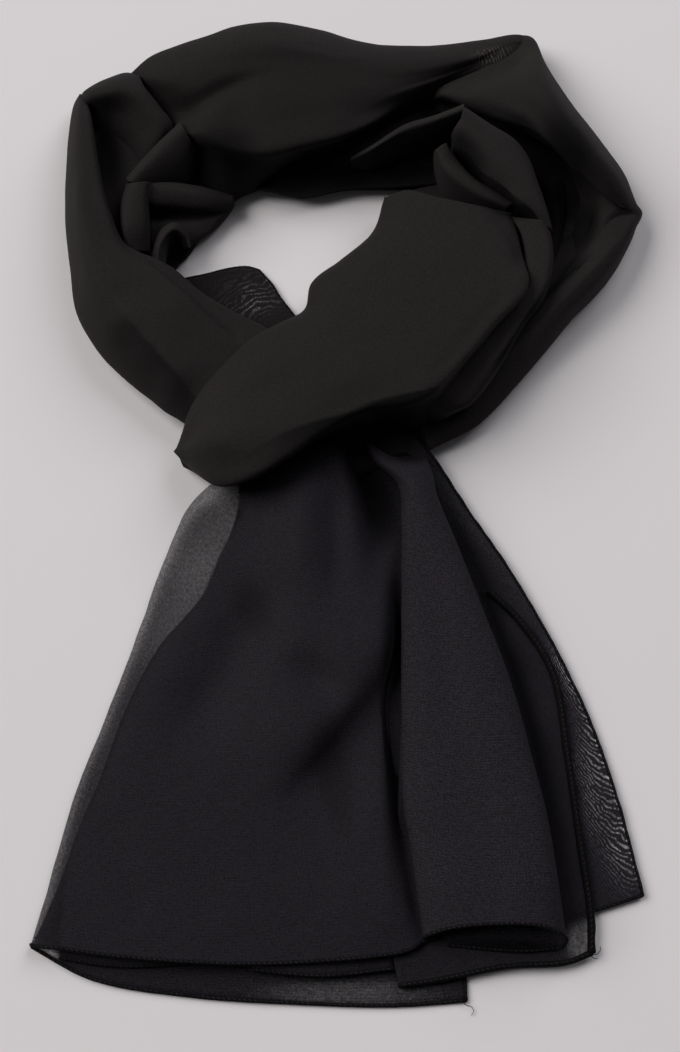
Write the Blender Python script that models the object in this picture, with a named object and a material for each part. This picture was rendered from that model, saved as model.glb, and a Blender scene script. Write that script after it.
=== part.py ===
"""Chiffon scarf, folded in half and tied as a pull-through slip knot, lying on a flat surface.

Sizes are in millimetres: x to the right, y from the tails' hem up to the neck ring, z up.
Every stretch of cloth is a loft. Its table has a column for each fold line, named for what the
line is, and a row of it for each section along the stretch.
"""

import bpy
import numpy as np
from mathutils import Vector
from mathutils.bvhtree import BVHTree

GAP = 0.3  # between cloths that lie on each other
WALL = 1.2  # a flat layer of the tails
PANEL_WALL = 1.5  # the front panel and the raised pleat
BED_TOP = 6.0  # the hidden layers of the ring, under all that shows
FOOT_INSET = 4.0  # how far a stretch curls under its widest line
LEAST_DEPTH = 1.2  # of a heap over its own floor
BROAD_SEAT = (1.1, 5.0)  # how far a heap stays over the cloth below, and how far round it feels for it
NARROW_SEAT = (0.6, 2.0)
PROBE = [(0, 0)] + [
    (size * np.cos(turn), size * np.sin(turn)) for size in (0.5, 1.0) for turn in np.arange(8) * np.pi / 4
]
LAYER_1 = WALL + GAP  # the undersides of the tails' flat layers
LAYER_2 = 2 * LAYER_1
CLOTH_BLACK = (0.016, 0.015, 0.016, 1.0)
CLOTH_ROUGHNESS = 0.85

# The hidden layers that the ring and the knot share: one low C, from below the knot's left end
# round by the right and back to the left arm.
RING_BED = {
    "outer_side": ((-56, 22, 3), (-28, 20, 3), (2, 24, 3), (30, 33, 3), (58, 49, 3), (76, 67, 3),
                   (95, 92, 3), (113, 113, 3), (132, 138, 3), (143, 154, 3), (147, 167, 3), (144, 180, 3),
                   (135, 202, 3), (121, 226, 3), (105, 252, 3), (94, 267, 3), (70, 267, 3), (44, 265, 3),
                   (14, 265, 3), (-12, 273, 3), (-35, 279, 3), (-55, 276, 3), (-74, 268, 3),
                   (-94, 259, 3), (-110, 244, 3), (-126, 235, 3), (-134, 217, 3), (-135, 188, 3),
                   (-132, 150, 3), (-124, 113, 3), (-112, 89, 3), (-93, 70, 3), (-76, 57, 3)),
    "outer_top": ((-55, 25, 6), (-27, 24, 6), (2, 28, 6), (28, 37, 6), (54, 53, 6), (72, 70, 6),
                  (91, 95, 6), (109, 115, 6), (128, 139, 6), (139, 155, 6), (143, 167, 6), (140, 179, 6),
                  (132, 200, 6), (118, 223, 6), (101, 249, 6), (91, 263, 6), (69, 263, 6), (43, 261, 6),
                  (14, 261, 6), (-13, 269, 6), (-35, 275, 6), (-54, 272, 6), (-72, 264, 6), (-91, 256, 6),
                  (-107, 241, 6), (-123, 232, 6), (-130, 216, 6), (-131, 188, 6), (-128, 150, 6),
                  (-120, 114, 6), (-109, 91, 6), (-91, 73, 6), (-73, 60, 6)),
    "inner_top": ((-51, 35, 6), (-29, 42, 6), (-18, 66, 6), (-19, 92, 6), (-11, 109, 6), (2, 125, 6),
                  (17, 144, 6), (28, 160, 6), (35, 168, 6), (40, 173, 6), (43, 178, 6), (44, 182, 6),
                  (43, 186, 6), (36, 189, 6), (26, 189, 6), (14, 188, 6), (4, 186, 6), (-6, 184, 6),
                  (-14, 183, 6), (-22, 183, 6), (-31, 184, 6), (-42, 184, 6), (-50, 182, 6),
                  (-58, 176, 6), (-63, 170, 6), (-69, 162, 6), (-76, 154, 6), (-83, 146, 6),
                  (-88, 136, 6), (-81, 120, 6), (-67, 107, 6), (-54, 94, 6), (-46, 83, 6)),
    "inner_side": ((-50, 38, 3), (-30, 46, 3), (-22, 66, 3), (-23, 94, 3), (-14, 112, 3), (-1, 128, 3),
                   (14, 147, 3), (25, 163, 3), (32, 170, 3), (36, 174, 3), (39, 178, 3), (40, 182, 3),
                   (39, 183, 3), (34, 185, 3), (25, 185, 3), (14, 184, 3), (4, 182, 3), (-6, 180, 3),
                   (-14, 179, 3), (-22, 179, 3), (-31, 180, 3), (-42, 180, 3), (-48, 178, 3),
                   (-56, 172, 3), (-60, 166, 3), (-66, 158, 3), (-73, 150, 3), (-80, 143, 3),
                   (-84, 134, 3), (-77, 117, 3), (-63, 104, 3), (-50, 92, 3), (-42, 81, 3)),
}
# The stretches of the ring that show, each from its outer to its inner side.
RING_LEFT = {
    "outer_side": ((-135, 239, 10), (-140, 218, 10), (-140, 188, 10), (-137, 149, 10), (-129, 111, 10),
                   (-116, 85, 10), (-96, 65, 10), (-76, 52, 9), (-66, 46, 9)),
    "outer_crest": ((-133, 234, 20), (-133, 207, 29), (-130, 172, 32), (-124, 137, 33), (-107, 101, 31),
                    (-93, 86, 30), (-79, 70, 26), (-70, 61, 20), (-62, 54, 15)),
    "inner_crest": ((-131, 233, 20), (-128, 208, 28), (-124, 176, 31), (-116, 145, 31), (-97, 120, 31),
                    (-77, 103, 29), (-62, 90, 24), (-54, 78, 18), (-50, 68, 14)),
    "inner_side": ((-130, 232, 12), (-127, 214, 14), (-122, 187, 14), (-113, 156, 16), (-92, 131, 21),
                   (-75, 114, 20), (-60, 101, 16), (-48, 89, 13), (-43, 75, 12)),
}
RING_SHOULDER = {
    "back_side": ((-129, 240, 11), (-125, 242, 12), (-120, 245, 12), (-115, 247, 12), (-109, 249, 12)),
    "crest": ((-127, 231, 20), (-122, 231, 25), (-115, 233, 26), (-108, 234, 26), (-101, 238, 23)),
    "face": ((-123, 213, 18), (-117, 211, 19), (-109, 212, 20), (-101, 217, 21), (-93, 224, 21)),
    "low": ((-119, 195, 12), (-113, 193, 12), (-107, 195, 13), (-99, 202, 15), (-91, 212, 17)),
    "tip": ((-115, 176, 9), (-111, 177, 9), (-106, 184, 10), (-99, 193, 11), (-89, 205, 12)),
}
RING_BACK = {
    "back_side": ((-104, 255, 11), (-94, 264, 11), (-74, 273, 11), (-55, 281, 11), (-35, 284, 11),
                  (-11, 278, 11), (16, 270, 11), (48, 270, 11), (74, 272, 11), (92, 276, 11)),
    "far_crest": ((-96, 239, 22), (-84, 241, 27), (-67, 249, 30), (-50, 255, 31), (-31, 256, 31),
                  (-9, 250, 31), (14, 244, 31), (44, 246, 29), (70, 256, 24), (88, 268, 17)),
    "crease": ((-86, 218, 20), (-78, 221, 23), (-64, 229, 27), (-48, 236, 31), (-29, 239, 33),
               (-9, 234, 34), (13, 232, 33), (41, 239, 29), (68, 252, 23), (87, 267, 16)),
    "near_ridge": ((-80, 209, 27), (-71, 212, 32), (-57, 219, 35), (-43, 223, 36), (-26, 221, 37),
                   (-8, 218, 36), (13, 221, 33), (38, 232, 28), (65, 250, 21), (86, 266, 14)),
    "lip": ((-76, 203, 27), (-65, 193, 29), (-52, 187, 29), (-37, 187, 29), (-22, 197, 30), (-3, 203, 29),
            (14, 211, 26), (35, 225, 22), (62, 249, 16), (85, 265, 12)),
    "inner_side": ((-71, 185, 13), (-58, 177, 11), (-47, 183, 12), (-39, 188, 17), (-22, 196, 22),
                   (1, 203, 21), (19, 214, 18), (35, 228, 15), (60, 249, 12), (83, 265, 10)),
}
RING_INNER = {
    "back": ((-37, 184, 8), (-21, 186, 10), (2, 193, 11), (22, 201, 10), (39, 207, 10)),
    "top": ((-39, 182, 10), (-21, 184, 15), (3, 190, 16), (25, 196, 15), (41, 201, 13)),
    "inner_side": ((-40, 180, 8), (-20, 181, 8), (3, 184, 8), (27, 188, 8), (43, 192, 8)),
}
RING_CUFF = {
    "outer_side": ((-83, 203, 20), (-94, 190, 19), (-103, 175, 16), (-107, 163, 15), (-108, 150, 13)),
    "outer_ridge": ((-82, 204, 29), (-93, 191, 28), (-102, 175, 25), (-106, 163, 23), (-107, 150, 19)),
    "inner_ridge": ((-79, 199, 28), (-88, 187, 27), (-97, 174, 24), (-98, 163, 22), (-98, 151, 18)),
    "inner_side": ((-78, 195, 19), (-86, 184, 18), (-96, 172, 16), (-97, 162, 14), (-97, 150, 12)),
}
INNER_FOLDS = {
    "flap_back": ((-92, 175, 15), (-77, 176, 14), (-63, 171, 10)),
    "flap_crest": ((-92, 171, 21), (-76, 171, 20), (-61, 168, 14)),
    "flap_edge": ((-93, 164, 19), (-76, 164, 17), (-63, 166, 12)),
    "crease": ((-94, 159, 13), (-77, 161, 11), (-65, 163, 9)),
    "low_crest": ((-95, 151, 16), (-80, 154, 13), (-68, 159, 10)),
    "opening_side": ((-94, 141, 9), (-80, 147, 8), (-70, 155, 8)),
}
LOOP_FOLD = {
    "left_side": ((-94, 133, 14), (-94, 148, 17), (-88, 157, 18), (-78, 156, 16), (-73, 147, 12)),
    "ridge": ((-90, 133, 19), (-90, 147, 21), (-86, 153, 22), (-80, 152, 20), (-76, 146, 16)),
    "right_side": ((-87, 134, 14), (-87, 146, 17), (-85, 149, 18), (-82, 149, 16), (-79, 145, 12)),
}
RING_RIGHT = {
    "outer_side": ((97, 273, 12), (108, 254, 10), (125, 225, 10), (139, 203, 10), (149, 182, 10),
                   (153, 165, 10), (147, 149, 10), (138, 135, 10), (119, 111, 10), (101, 90, 9),
                   (81, 66, 9), (63, 47, 8), (45, 37, 8)),
    "outer_crest": ((85, 254, 17), (93, 233, 29), (107, 211, 30), (126, 192, 28), (141, 173, 22),
                    (148, 163, 15), (141, 147, 18), (129, 132, 20), (112, 114, 20), (95, 95, 19),
                    (78, 73, 17), (60, 52, 14), (40, 44, 12)),
    "inner_ridge": ((54, 229, 26), (73, 220, 31), (90, 212, 33), (107, 199, 33), (126, 183, 30),
                    (137, 171, 23), (138, 158, 18), (129, 146, 21), (113, 123, 22), (98, 107, 21),
                    (81, 89, 18), (60, 64, 14), (36, 54, 12)),
    "hollow": ((56, 224, 17), (76, 214, 15), (93, 204, 13), (107, 190, 12), (119, 177, 12),
               (123, 165, 12), (121, 153, 12), (115, 142, 12), (104, 124, 12), (91, 108, 12),
               (75, 92, 12), (55, 73, 11), (32, 60, 10)),
    "inner_side": ((58, 216, 10), (66, 202, 10), (76, 192, 10), (87, 180, 10), (97, 171, 10),
                   (102, 163, 10), (102, 152, 10), (99, 141, 10), (92, 127, 10), (79, 112, 10),
                   (63, 97, 10), (45, 82, 9), (24, 66, 9)),
}

# The knot and the folds that stand beside it, heaped on what lies below them.
OVER_STRIP = {
    "inner": ((90, 147, 20), (90, 128, 20), (82, 112, 20), (67, 93, 20), (48, 72, 18), (38, 62, 17)),
    "crest": ((97, 146, 30), (97, 122, 28), (86, 101, 27), (72, 83, 25), (55, 64, 22), (44, 54, 20)),
    "outer": ((104, 144, 24), (101, 119, 21), (88, 98, 20), (75, 79, 18), (60, 58, 16), (48, 49, 15)),
}
OVER_BAND = {
    "opening_edge": ((36, 176, 22), (25, 166, 20), (15, 149, 20), (0, 131, 20), (-12, 120, 20),
                     (-21, 104, 20), (-38, 92, 24), (-51, 83, 26), (-62, 70, 26), (-70, 59, 22),
                     (-76, 49, 14), (-81, 37, 5)),
    "opening_crest": ((43, 169, 32), (35, 152, 36), (23, 132, 37), (10, 113, 37), (-1, 98, 37),
                      (-13, 85, 37), (-27, 75, 36), (-41, 66, 36), (-53, 57, 34), (-64, 48, 28),
                      (-74, 42, 18), (-80, 36, 7)),
    "middle": ((57, 163, 35), (51, 139, 40), (38, 114, 42), (25, 94, 42), (12, 80, 42), (-1, 67, 41),
               (-15, 57, 40), (-30, 49, 38), (-44, 40, 36), (-58, 36, 30), (-72, 35, 18), (-79, 34, 7)),
    "knot_crest": ((73, 157, 33), (74, 131, 38), (62, 109, 39), (46, 88, 39), (32, 73, 38), (15, 59, 37),
                   (0, 49, 36), (-15, 42, 34), (-32, 34, 31), (-50, 27, 25), (-69, 29, 16), (-78, 33, 6)),
    "knot_edge": ((87, 152, 27), (91, 127, 27), (80, 105, 27), (62, 82, 27), (48, 66, 26), (27, 54, 24),
                  (7, 47, 24), (-10, 38, 23), (-30, 27, 20), (-49, 18, 15), (-66, 23, 10), (-77, 31, 4)),
}
APEX_FOLD = {
    "hollow_side": ((61, 209, 26), (73, 202, 28), (85, 190, 28), (94, 172, 27), (100, 156, 26)),
    "outer_edge": ((61, 208, 41), (73, 199, 43), (85, 187, 43), (93, 169, 41), (101, 150, 36)),
    "face": ((61, 202, 42), (68, 190, 42), (77, 177, 42), (86, 164, 39), (98, 149, 34)),
    "inner_edge": ((60, 197, 38), (58, 189, 36), (68, 175, 35), (82, 163, 34), (96, 148, 32)),
    "inner_side": ((61, 195, 28), (59, 187, 27), (69, 173, 27), (82, 161, 26), (95, 147, 27)),
}
APEX_WING = {
    "back_side": ((56, 211, 24), (47, 209, 23), (33, 205, 22), (17, 197, 18)),
    "ridge": ((57, 208, 40), (48, 206, 39), (34, 202, 35), (17, 193, 26)),
    "front_side": ((55, 205, 24), (46, 203, 23), (33, 198, 22), (17, 189, 18)),
}
HOLLOW_FOLD_OUTER = {
    "outer_side": ((125, 171, 15), (124, 160, 15), (120, 147, 15)),
    "ridge": ((121, 172, 20), (121, 160, 21), (117, 147, 19)),
    "inner_side": ((117, 171, 15), (117, 160, 15), (114, 148, 15)),
}
HOLLOW_FOLD_INNER = {
    "outer_side": ((105, 186, 15), (109, 168, 15), (108, 147, 15), (102, 129, 14)),
    "ridge": ((101, 186, 19), (105, 168, 20), (104, 147, 19), (99, 129, 17)),
    "inner_side": ((98, 185, 14), (101, 168, 15), (101, 147, 15), (97, 130, 14)),
}
SLOT_FOLD = {
    "back_side": ((49, 193, 22), (59, 179, 24), (66, 171, 25)),
    "ridge": ((47, 190, 31), (57, 176, 33), (64, 169, 32)),
    "front_side": ((45, 186, 22), (55, 171, 24), (62, 166, 26)),
}

# The tails, from the knot down to their hems. Rows run from left to right edge.
TAIL_FRONT = {
    "fold_edge": ((-46, 34, 12), (-60, 16, 8), (-67, 6, 6.5), (-76, -10, 6), (-86, -40, 6),
                  (-100, -84, 6), (-114, -123, 6), (-123, -161, 6), (-131, -195, 6)),
    "sheer_edge": ((-38, 40, 13), (-50, 21, 11), (-56, 8, 11), (-64, -11, 9), (-74, -40, 8),
                   (-88, -84, 7.5), (-102, -124, 7), (-111, -162, 6.6), (-120, -197, 6.2)),
    "left_ridge": ((-29, 44, 14), (-38, 25, 14.5), (-43, 11, 15), (-49, -10, 13), (-56, -38, 12),
                   (-66, -84, 10), (-75, -126, 9), (-82, -165, 7.4), (-90, -200, 6.2)),
    "middle": ((-20, 48, 14.5), (-25, 30, 16.5), (-28, 15, 17), (-31, -8, 15), (-33, -36, 12),
               (-38, -84, 10), (-43, -128, 9), (-48, -167, 7.2), (-55, -203, 6.2)),
    "dip": ((-10, 51, 14.5), (-12, 34, 17), (-13, 18, 15), (-15, -6, 11), (-12, -34, 9), (-10, -85, 8.4),
            (-12, -129, 9), (-15, -167, 7.4), (-21, -203, 6.2)),
    "right_ridge": ((-2, 54, 14), (-3, 36, 17), (-3, 20, 12), (-2, -5, 9.5), (8, -32, 9.5),
                    (13, -85, 9.5), (12, -130, 7.4), (11, -165, 6.6), (9, -200, 6.2)),
    "pleat_side": ((8, 57, 13), (15, 40, 12.5), (23, 21, 9.6), (30, -6, 7.2), (33, -32, 6.2),
                   (35, -86, 6), (35, -130, 6), (37, -163, 6), (41, -194, 6)),
}
TAIL_PLEAT = {
    "left_foot": ((12, 57, 17), (14, 40, 17), (21, 20, 14), (27, -10, 9.9), (29, -40, 8.1),
                  (29, -86, 7.8), (30, -130, 7.8), (32, -163, 7.8), (37, -191, 7.8)),
    "left_side": ((14, 58, 18), (17, 41, 19), (25, 20, 17), (29, -8, 13), (31, -38, 12), (31, -86, 11.5),
                  (32, -130, 11), (35, -164, 11), (42, -190, 11)),
    "crest": ((20, 59, 19), (26, 42, 20), (34, 22, 19), (42, -10, 17), (48, -43, 16), (56, -90, 16),
              (63, -135, 16), (66, -165, 16), (67, -188, 16)),
    "right_side": ((25, 60, 15), (34, 44, 15), (43, 20, 13), (54, -12, 12), (66, -48, 11), (79, -94, 11),
                   (87, -137, 11), (91, -168, 11), (92, -190, 11)),
    "right_fold": ((28, 61, 13), (38, 45, 12), (48, 18, 9), (58, -14, 6.6), (71, -52, 5.4),
                   (84, -98, 5.4), (91, -139, 5.4), (95, -170, 5.4), (97, -192, 5.4)),
}
# The flat layers: the left and right edges from the knot to the hem, and the hem's dip between them.
FLAT_LAYERS = {
    "tail_under": {
        "base": 0.0,
        "left": ((-52, 8), (-67, -20), (-86, -60), (-100, -98), (-115, -140), (-125, -172), (-133, -196)),
        "right": ((20, 8), (30, -30), (40, -75), (46, -120), (50, -160), (53, -190), (54, -219)),
        "hem_dip": 10.0,
        "lift": (0, 0, 0, 0, 0, 0, 0),
    },
    "tail_back": {
        "base": LAYER_1,
        "left": ((-38, 44), (-42, 24), (-48, 4), (-57, -20), (-78, -60), (-102, -104), (-114, -145),
                 (-120, -192)),
        "right": ((34, 47), (45, 34), (55, 16), (74, -15), (93, -50), (114, -95), (125, -135),
                  (132, -174)),
        "hem_dip": 4.0,
        "lift": (6.5, 5.4, 1.2, 0, 0, 0, 0, 0),
    },
    "tail_mid": {
        "base": LAYER_2,
        "left": ((-20, -12), (-24, -35), (-26, -70), (-28, -110), (-30, -150), (-32, -180), (-33, -207)),
        "right": ((18, -12), (22, -35), (23, -70), (23, -110), (23, -150), (21, -180), (21, -200)),
        "hem_dip": 1.0,
        "lift": (0, 0, 0, 0, 0, 0, 0),
    },
    "tail_pleat_under": {
        "base": LAYER_2,
        "left": ((22, -12), (25, -35), (26, -70), (26, -110), (26, -150), (24, -180), (24, -211)),
        "right": ((56, -12), (73, -38), (93, -72), (101, -102), (105, -140), (108, -172), (109, -200)),
        "hem_dip": 0.0,
        "lift": (0, 0, 0, 0, 0, 0, 0),
    },
}
NECK_FLAP = {
    "base": 0.0,
    "left": ((-83.6, 134.2), (-76.6, 117.2), (-62.6, 104.2), (-49.6, 92.2)),
    "right": ((-62, 140), (-42, 142), (-32, 130), (-25, 113)),
    "hem_dip": 0.0,
    "lift": (0, 0, 0, 0),
}


def spline(rows, steps):
    """Points along a centripetal curve through the rows, with this many steps between two of them."""
    rows = np.asarray(rows, float)
    spans = np.sqrt(np.linalg.norm(np.diff(rows, axis=0), axis=1, keepdims=True))
    rates = np.diff(rows, axis=0) / spans
    inner = (rates[:-1] * spans[1:] + rates[1:] * spans[:-1]) / (spans[:-1] + spans[1:])
    slopes = np.vstack([rates[:1], inner, rates[-1:]])
    points = []
    for i, span in enumerate(spans):
        for t in np.arange(steps) / steps:
            points.append(hermite(rows[i], rows[i + 1], slopes[i] * span, slopes[i + 1] * span, t))
    points.append(rows[-1])
    return np.array(points)


def hermite(start, end, start_slope, end_slope, t):
    return (
        (2 * t**3 - 3 * t**2 + 1) * start
        + (t**3 - 2 * t**2 + t) * start_slope
        + (3 * t**2 - 2 * t**3) * end
        + (t**3 - t**2) * end_slope
    )


def sections(folds, steps_along, steps_across):
    """The cloth's surface: a row of points for each section, running from one fold line to the next."""
    lines = [spline(rows, steps_along) for rows in folds.values()]
    return np.array([spline(section, steps_across) for section in np.stack(lines, axis=1)])


def toward(points, target, distance):
    """Points moved in plan toward the target's points, by no more than a third of the way."""
    step = (target - points) * (1, 1, 0)
    length = np.linalg.norm(step, axis=1, keepdims=True)
    return points + step / np.maximum(length, 1e-6) * np.minimum(distance, length / 3)


def height_below(x, y, trees, seat):
    """The height at which cloth lies over what is near a point, or 0 where there is only the surface."""
    gap, reach = seat
    highest = 0.0
    for dx, dy in PROBE:
        above = Vector((x + dx * reach, y + dy * reach, 200.0))
        for tree in trees:
            hit = tree.ray_cast(above, Vector((0, 0, -1)))[0]
            if hit is not None:
                highest = max(highest, hit.z + gap)
    return highest


def loft(rings, nose=(0, 0), thin=False):
    """A closed body through rings of points, its ends flat or pushed out by a nose length.

    A thin ring runs out along the cloth's upper side and back along its underside.
    """
    count, size = rings.shape[:2]
    points = list(rings.reshape(-1, 3))
    faces = []
    for i in range(count - 1):
        for j in range(size):
            k = (j + 1) % size
            faces.append((i * size + j, (i + 1) * size + j, (i + 1) * size + k, i * size + k))
    for end, inner, length in ((0, 1, nose[0]), (count - 1, count - 2, nose[1])):
        if thin:
            for j in range(size // 2 - 1):
                cap = [end * size + corner for corner in (j, j + 1, size - 2 - j, size - 1 - j)]
                faces.append(tuple(cap if end == 0 else reversed(cap)))
            continue
        if not length:
            cap = range(end * size, end * size + size)
            faces.append(tuple(cap if end == 0 else reversed(cap)))
            continue
        middle = rings[end].mean(axis=0)
        out = (middle - rings[inner].mean(axis=0)) * (1, 1, 0)
        points.append(middle + out / max(np.linalg.norm(out), 1e-6) * length)
        for j in range(size):
            k = (j + 1) % size
            edge = (end * size + j, end * size + k)
            faces.append((*(edge if end == 0 else edge[::-1]), len(points) - 1))
    return np.array(points), faces


def outward(points, faces):
    """The faces turned so that they all look out of the body."""
    volume = 0.0
    for face in faces:
        first = points[face[0]]
        for i in range(1, len(face) - 1):
            volume += np.dot(first, np.cross(points[face[i]], points[face[i + 1]]))
    return faces if volume > 0 else [face[::-1] for face in faces]


def heap(folds, below=(), floor_steps=1, nose=(0, 0), base=0.0, steps=(3, 3), seat=BROAD_SEAT):
    """A rounded stretch of heaped cloth, its underside flat at the base or on the cloth below it."""
    top = sections(folds, *steps)
    first_foot = toward(top[:, 0], top[:, steps[1]], FOOT_INSET)
    last_foot = toward(top[:, -1], top[:, -1 - steps[1]], FOOT_INSET)
    across = np.linspace(0, 1, floor_steps + 1)[:, None, None]
    floor = last_foot + (first_foot - last_foot) * across
    floor[:, :, 2] = base
    if below:
        for point in floor.reshape(-1, 3):
            point[2] = height_below(point[0], point[1], below, seat)
    for point in top.reshape(-1, 3):
        least = height_below(point[0], point[1], below, seat) if below else base
        point[2] = max(point[2], least + LEAST_DEPTH)
    return loft(np.concatenate([top, floor.transpose(1, 0, 2)], axis=1), nose)


def surface_normals(surface):
    along = np.gradient(surface, axis=0)
    across = np.gradient(surface, axis=1)
    normals = np.cross(across, along)
    normals /= np.linalg.norm(normals, axis=2, keepdims=True)
    return normals * np.sign(normals[:, :, 2].sum())


def wall(folds, thickness, steps=(2, 3)):
    """A cloth wall that follows its fold lines, thickened below its upper surface."""
    top = sections(folds, *steps)
    under = top - surface_normals(top) * thickness
    return loft(np.concatenate([top, under[:, ::-1]], axis=1), thin=True)


def flat_layer(layer):
    """A flat layer of cloth between its left and right edges."""
    steps = 6
    lift = np.array(layer["lift"], float)[:, None]
    left = spline(np.hstack([layer["left"], layer["base"] + WALL + lift]), 2)
    right = spline(np.hstack([layer["right"], layer["base"] + WALL + lift]), 2)
    share = np.linspace(0, 1, steps + 1)[None, :, None]
    top = left[:, None] + (right - left)[:, None] * share
    top[-1, :, 1] -= layer["hem_dip"] * np.sin(np.pi * share[0, :, 0])
    under = top - (0, 0, WALL)
    return loft(np.concatenate([top, under[:, ::-1]], axis=1), thin=True)


def add_object(name, body, material):
    points, faces = body
    mesh = bpy.data.meshes.new(name)
    mesh.from_pydata((points * 0.001).tolist(), [], outward(points, faces))
    mesh.validate()
    mesh.materials.append(material)
    piece = bpy.data.objects.new(name, mesh)
    bpy.context.scene.collection.objects.link(piece)


def cloth_material():
    material = bpy.data.materials.new("black_chiffon")
    material.use_nodes = True
    shader = material.node_tree.nodes["Principled BSDF"]
    shader.inputs["Base Color"].default_value = CLOTH_BLACK
    shader.inputs["Roughness"].default_value = CLOTH_ROUGHNESS
    return material


def tree_of(body):
    points, faces = body
    return BVHTree.FromPolygons(points.tolist(), faces)


def bed():
    """The ring's hidden layers, their top level so that the stretches above stand on it."""
    points, faces = heap(RING_BED, steps=(2, 2), floor_steps=2)
    points[:, 2] = np.minimum(points[:, 2], BED_TOP)
    return points, faces


def build():
    on_bed = BED_TOP + GAP
    bodies = {
        "ring_bed": bed(),
        "ring_left": heap(RING_LEFT, nose=(1, 2), base=on_bed),
        "ring_shoulder": heap(RING_SHOULDER, base=on_bed),
        "ring_back": heap(RING_BACK, nose=(0, 1), base=on_bed),
        "ring_inner": heap(RING_INNER, nose=(0, 2), base=on_bed),
        "ring_cuff": heap(RING_CUFF, base=on_bed, steps=(3, 2)),
        "inner_folds": heap(INNER_FOLDS, nose=(0, 2), base=on_bed, steps=(3, 2)),
        "ring_right": heap(RING_RIGHT, base=on_bed),
        "neck_flap": flat_layer(NECK_FLAP),
    }
    for name, layer in FLAT_LAYERS.items():
        bodies[name] = flat_layer(layer)
    bodies["tail_front"] = wall(TAIL_FRONT, PANEL_WALL)
    bodies["tail_pleat"] = wall(TAIL_PLEAT, PANEL_WALL)
    trees = [tree_of(body) for body in bodies.values()]
    for name, folds, options in (
        ("loop_fold", LOOP_FOLD, {"floor_steps": 2, "steps": (3, 2), "seat": NARROW_SEAT}),
        ("hollow_fold_outer", HOLLOW_FOLD_OUTER, {"floor_steps": 2, "steps": (3, 2), "seat": NARROW_SEAT}),
        ("hollow_fold_inner", HOLLOW_FOLD_INNER, {"floor_steps": 2, "steps": (3, 2), "seat": NARROW_SEAT}),
        ("over_strip", OVER_STRIP, {"floor_steps": 2}),
        ("over_band", OVER_BAND, {"floor_steps": 8, "nose": (2, 1)}),
        ("apex_fold", APEX_FOLD, {"floor_steps": 4}),
        ("apex_wing", APEX_WING, {"floor_steps": 2, "seat": NARROW_SEAT}),
        ("slot_fold", SLOT_FOLD, {"floor_steps": 2, "seat": NARROW_SEAT}),
    ):
        bodies[name] = heap(folds, trees, **options)
        trees.append(tree_of(bodies[name]))
    return bodies


def plan_centre(bodies):
    """The middle of the whole scarf's bounding box in plan, which becomes the origin."""
    points = np.concatenate([points for points, faces in bodies.values()])
    return (points.min(axis=0) + points.max(axis=0)) / 2 * (1, 1, 0)


for piece in list(bpy.data.objects):
    bpy.data.objects.remove(piece, do_unlink=True)
black = cloth_material()
scarf = build()
centre = plan_centre(scarf)
for piece_name, (piece_points, piece_faces) in scarf.items():
    add_object(piece_name, (piece_points - centre, piece_faces), black)
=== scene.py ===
import bpy
import math
import numpy as np
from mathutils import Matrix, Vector, noise


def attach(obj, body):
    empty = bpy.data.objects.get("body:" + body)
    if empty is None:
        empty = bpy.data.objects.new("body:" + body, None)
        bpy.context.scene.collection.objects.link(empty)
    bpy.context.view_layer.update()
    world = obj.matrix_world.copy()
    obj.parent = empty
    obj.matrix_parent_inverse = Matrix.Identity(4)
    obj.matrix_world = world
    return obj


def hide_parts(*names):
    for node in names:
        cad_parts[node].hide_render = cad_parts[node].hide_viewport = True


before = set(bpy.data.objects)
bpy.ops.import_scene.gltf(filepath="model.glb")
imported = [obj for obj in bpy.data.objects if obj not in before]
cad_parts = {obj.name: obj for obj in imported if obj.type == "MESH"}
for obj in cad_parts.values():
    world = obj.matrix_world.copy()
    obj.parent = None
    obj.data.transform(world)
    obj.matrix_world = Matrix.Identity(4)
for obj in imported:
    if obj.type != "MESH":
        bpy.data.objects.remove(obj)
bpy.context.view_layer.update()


def addObject(name, data):
    made = bpy.data.objects.new(name, data)
    bpy.context.scene.collection.objects.link(made)
    return made


# camera, floor and light, in metres

view = {"lens": 38.05, "sensor": 24, "distance": 0.792, "tilt": math.radians(22.0),
        "lookAt": (-0.0062, -0.0319, 0.0)}
camera = addObject("camera", bpy.data.cameras.new("camera"))
camera.data.sensor_fit = "VERTICAL"
camera.data.sensor_height = view["sensor"]
camera.data.lens = view["lens"]
camera.rotation_euler = (view["tilt"], 0, 0)
away = Vector((0, -math.sin(view["tilt"]), math.cos(view["tilt"])))
camera.location = Vector(view["lookAt"]) + away * view["distance"]
bpy.context.scene.camera = camera
bpy.context.scene.view_settings.view_transform = "Standard"

studio = {
    "floor": {"half": 4.0, "height": -0.0003, "colour": (0.77, 0.745, 0.755), "patches": 2.2, "darker": 0.97,
              "shader": {"Roughness": 0.9, "Specular IOR Level": 0.1}},
    "sky": {"Color": (0.95, 0.94, 1.0, 1), "Strength": 0.065},
    "lights": {
        "windowLight": {"place": (-4.5, 1.5, 4.2), "watts": 365.0, "size": 4.8, "colour": (1.0, 0.98, 0.965)},
        "roomLight": {"place": (2.5, 3.3, 3.4), "watts": 122.0, "size": 3.6, "colour": (0.98, 0.97, 1.0)},
    },
}


def setSockets(node, values):
    for socket, value in values.items():
        node.inputs[socket].default_value = value


def addNode(tree, kind, sockets=None, **settings):
    node = tree.nodes.new("ShaderNode" + kind)
    for setting, value in settings.items():
        setattr(node, setting, value)
    setSockets(node, sockets or {})
    return node


def nodeMaterial(name):
    material = bpy.data.materials.new(name)
    material.use_nodes = True
    return material, material.node_tree, material.node_tree.nodes["Principled BSDF"]


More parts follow.
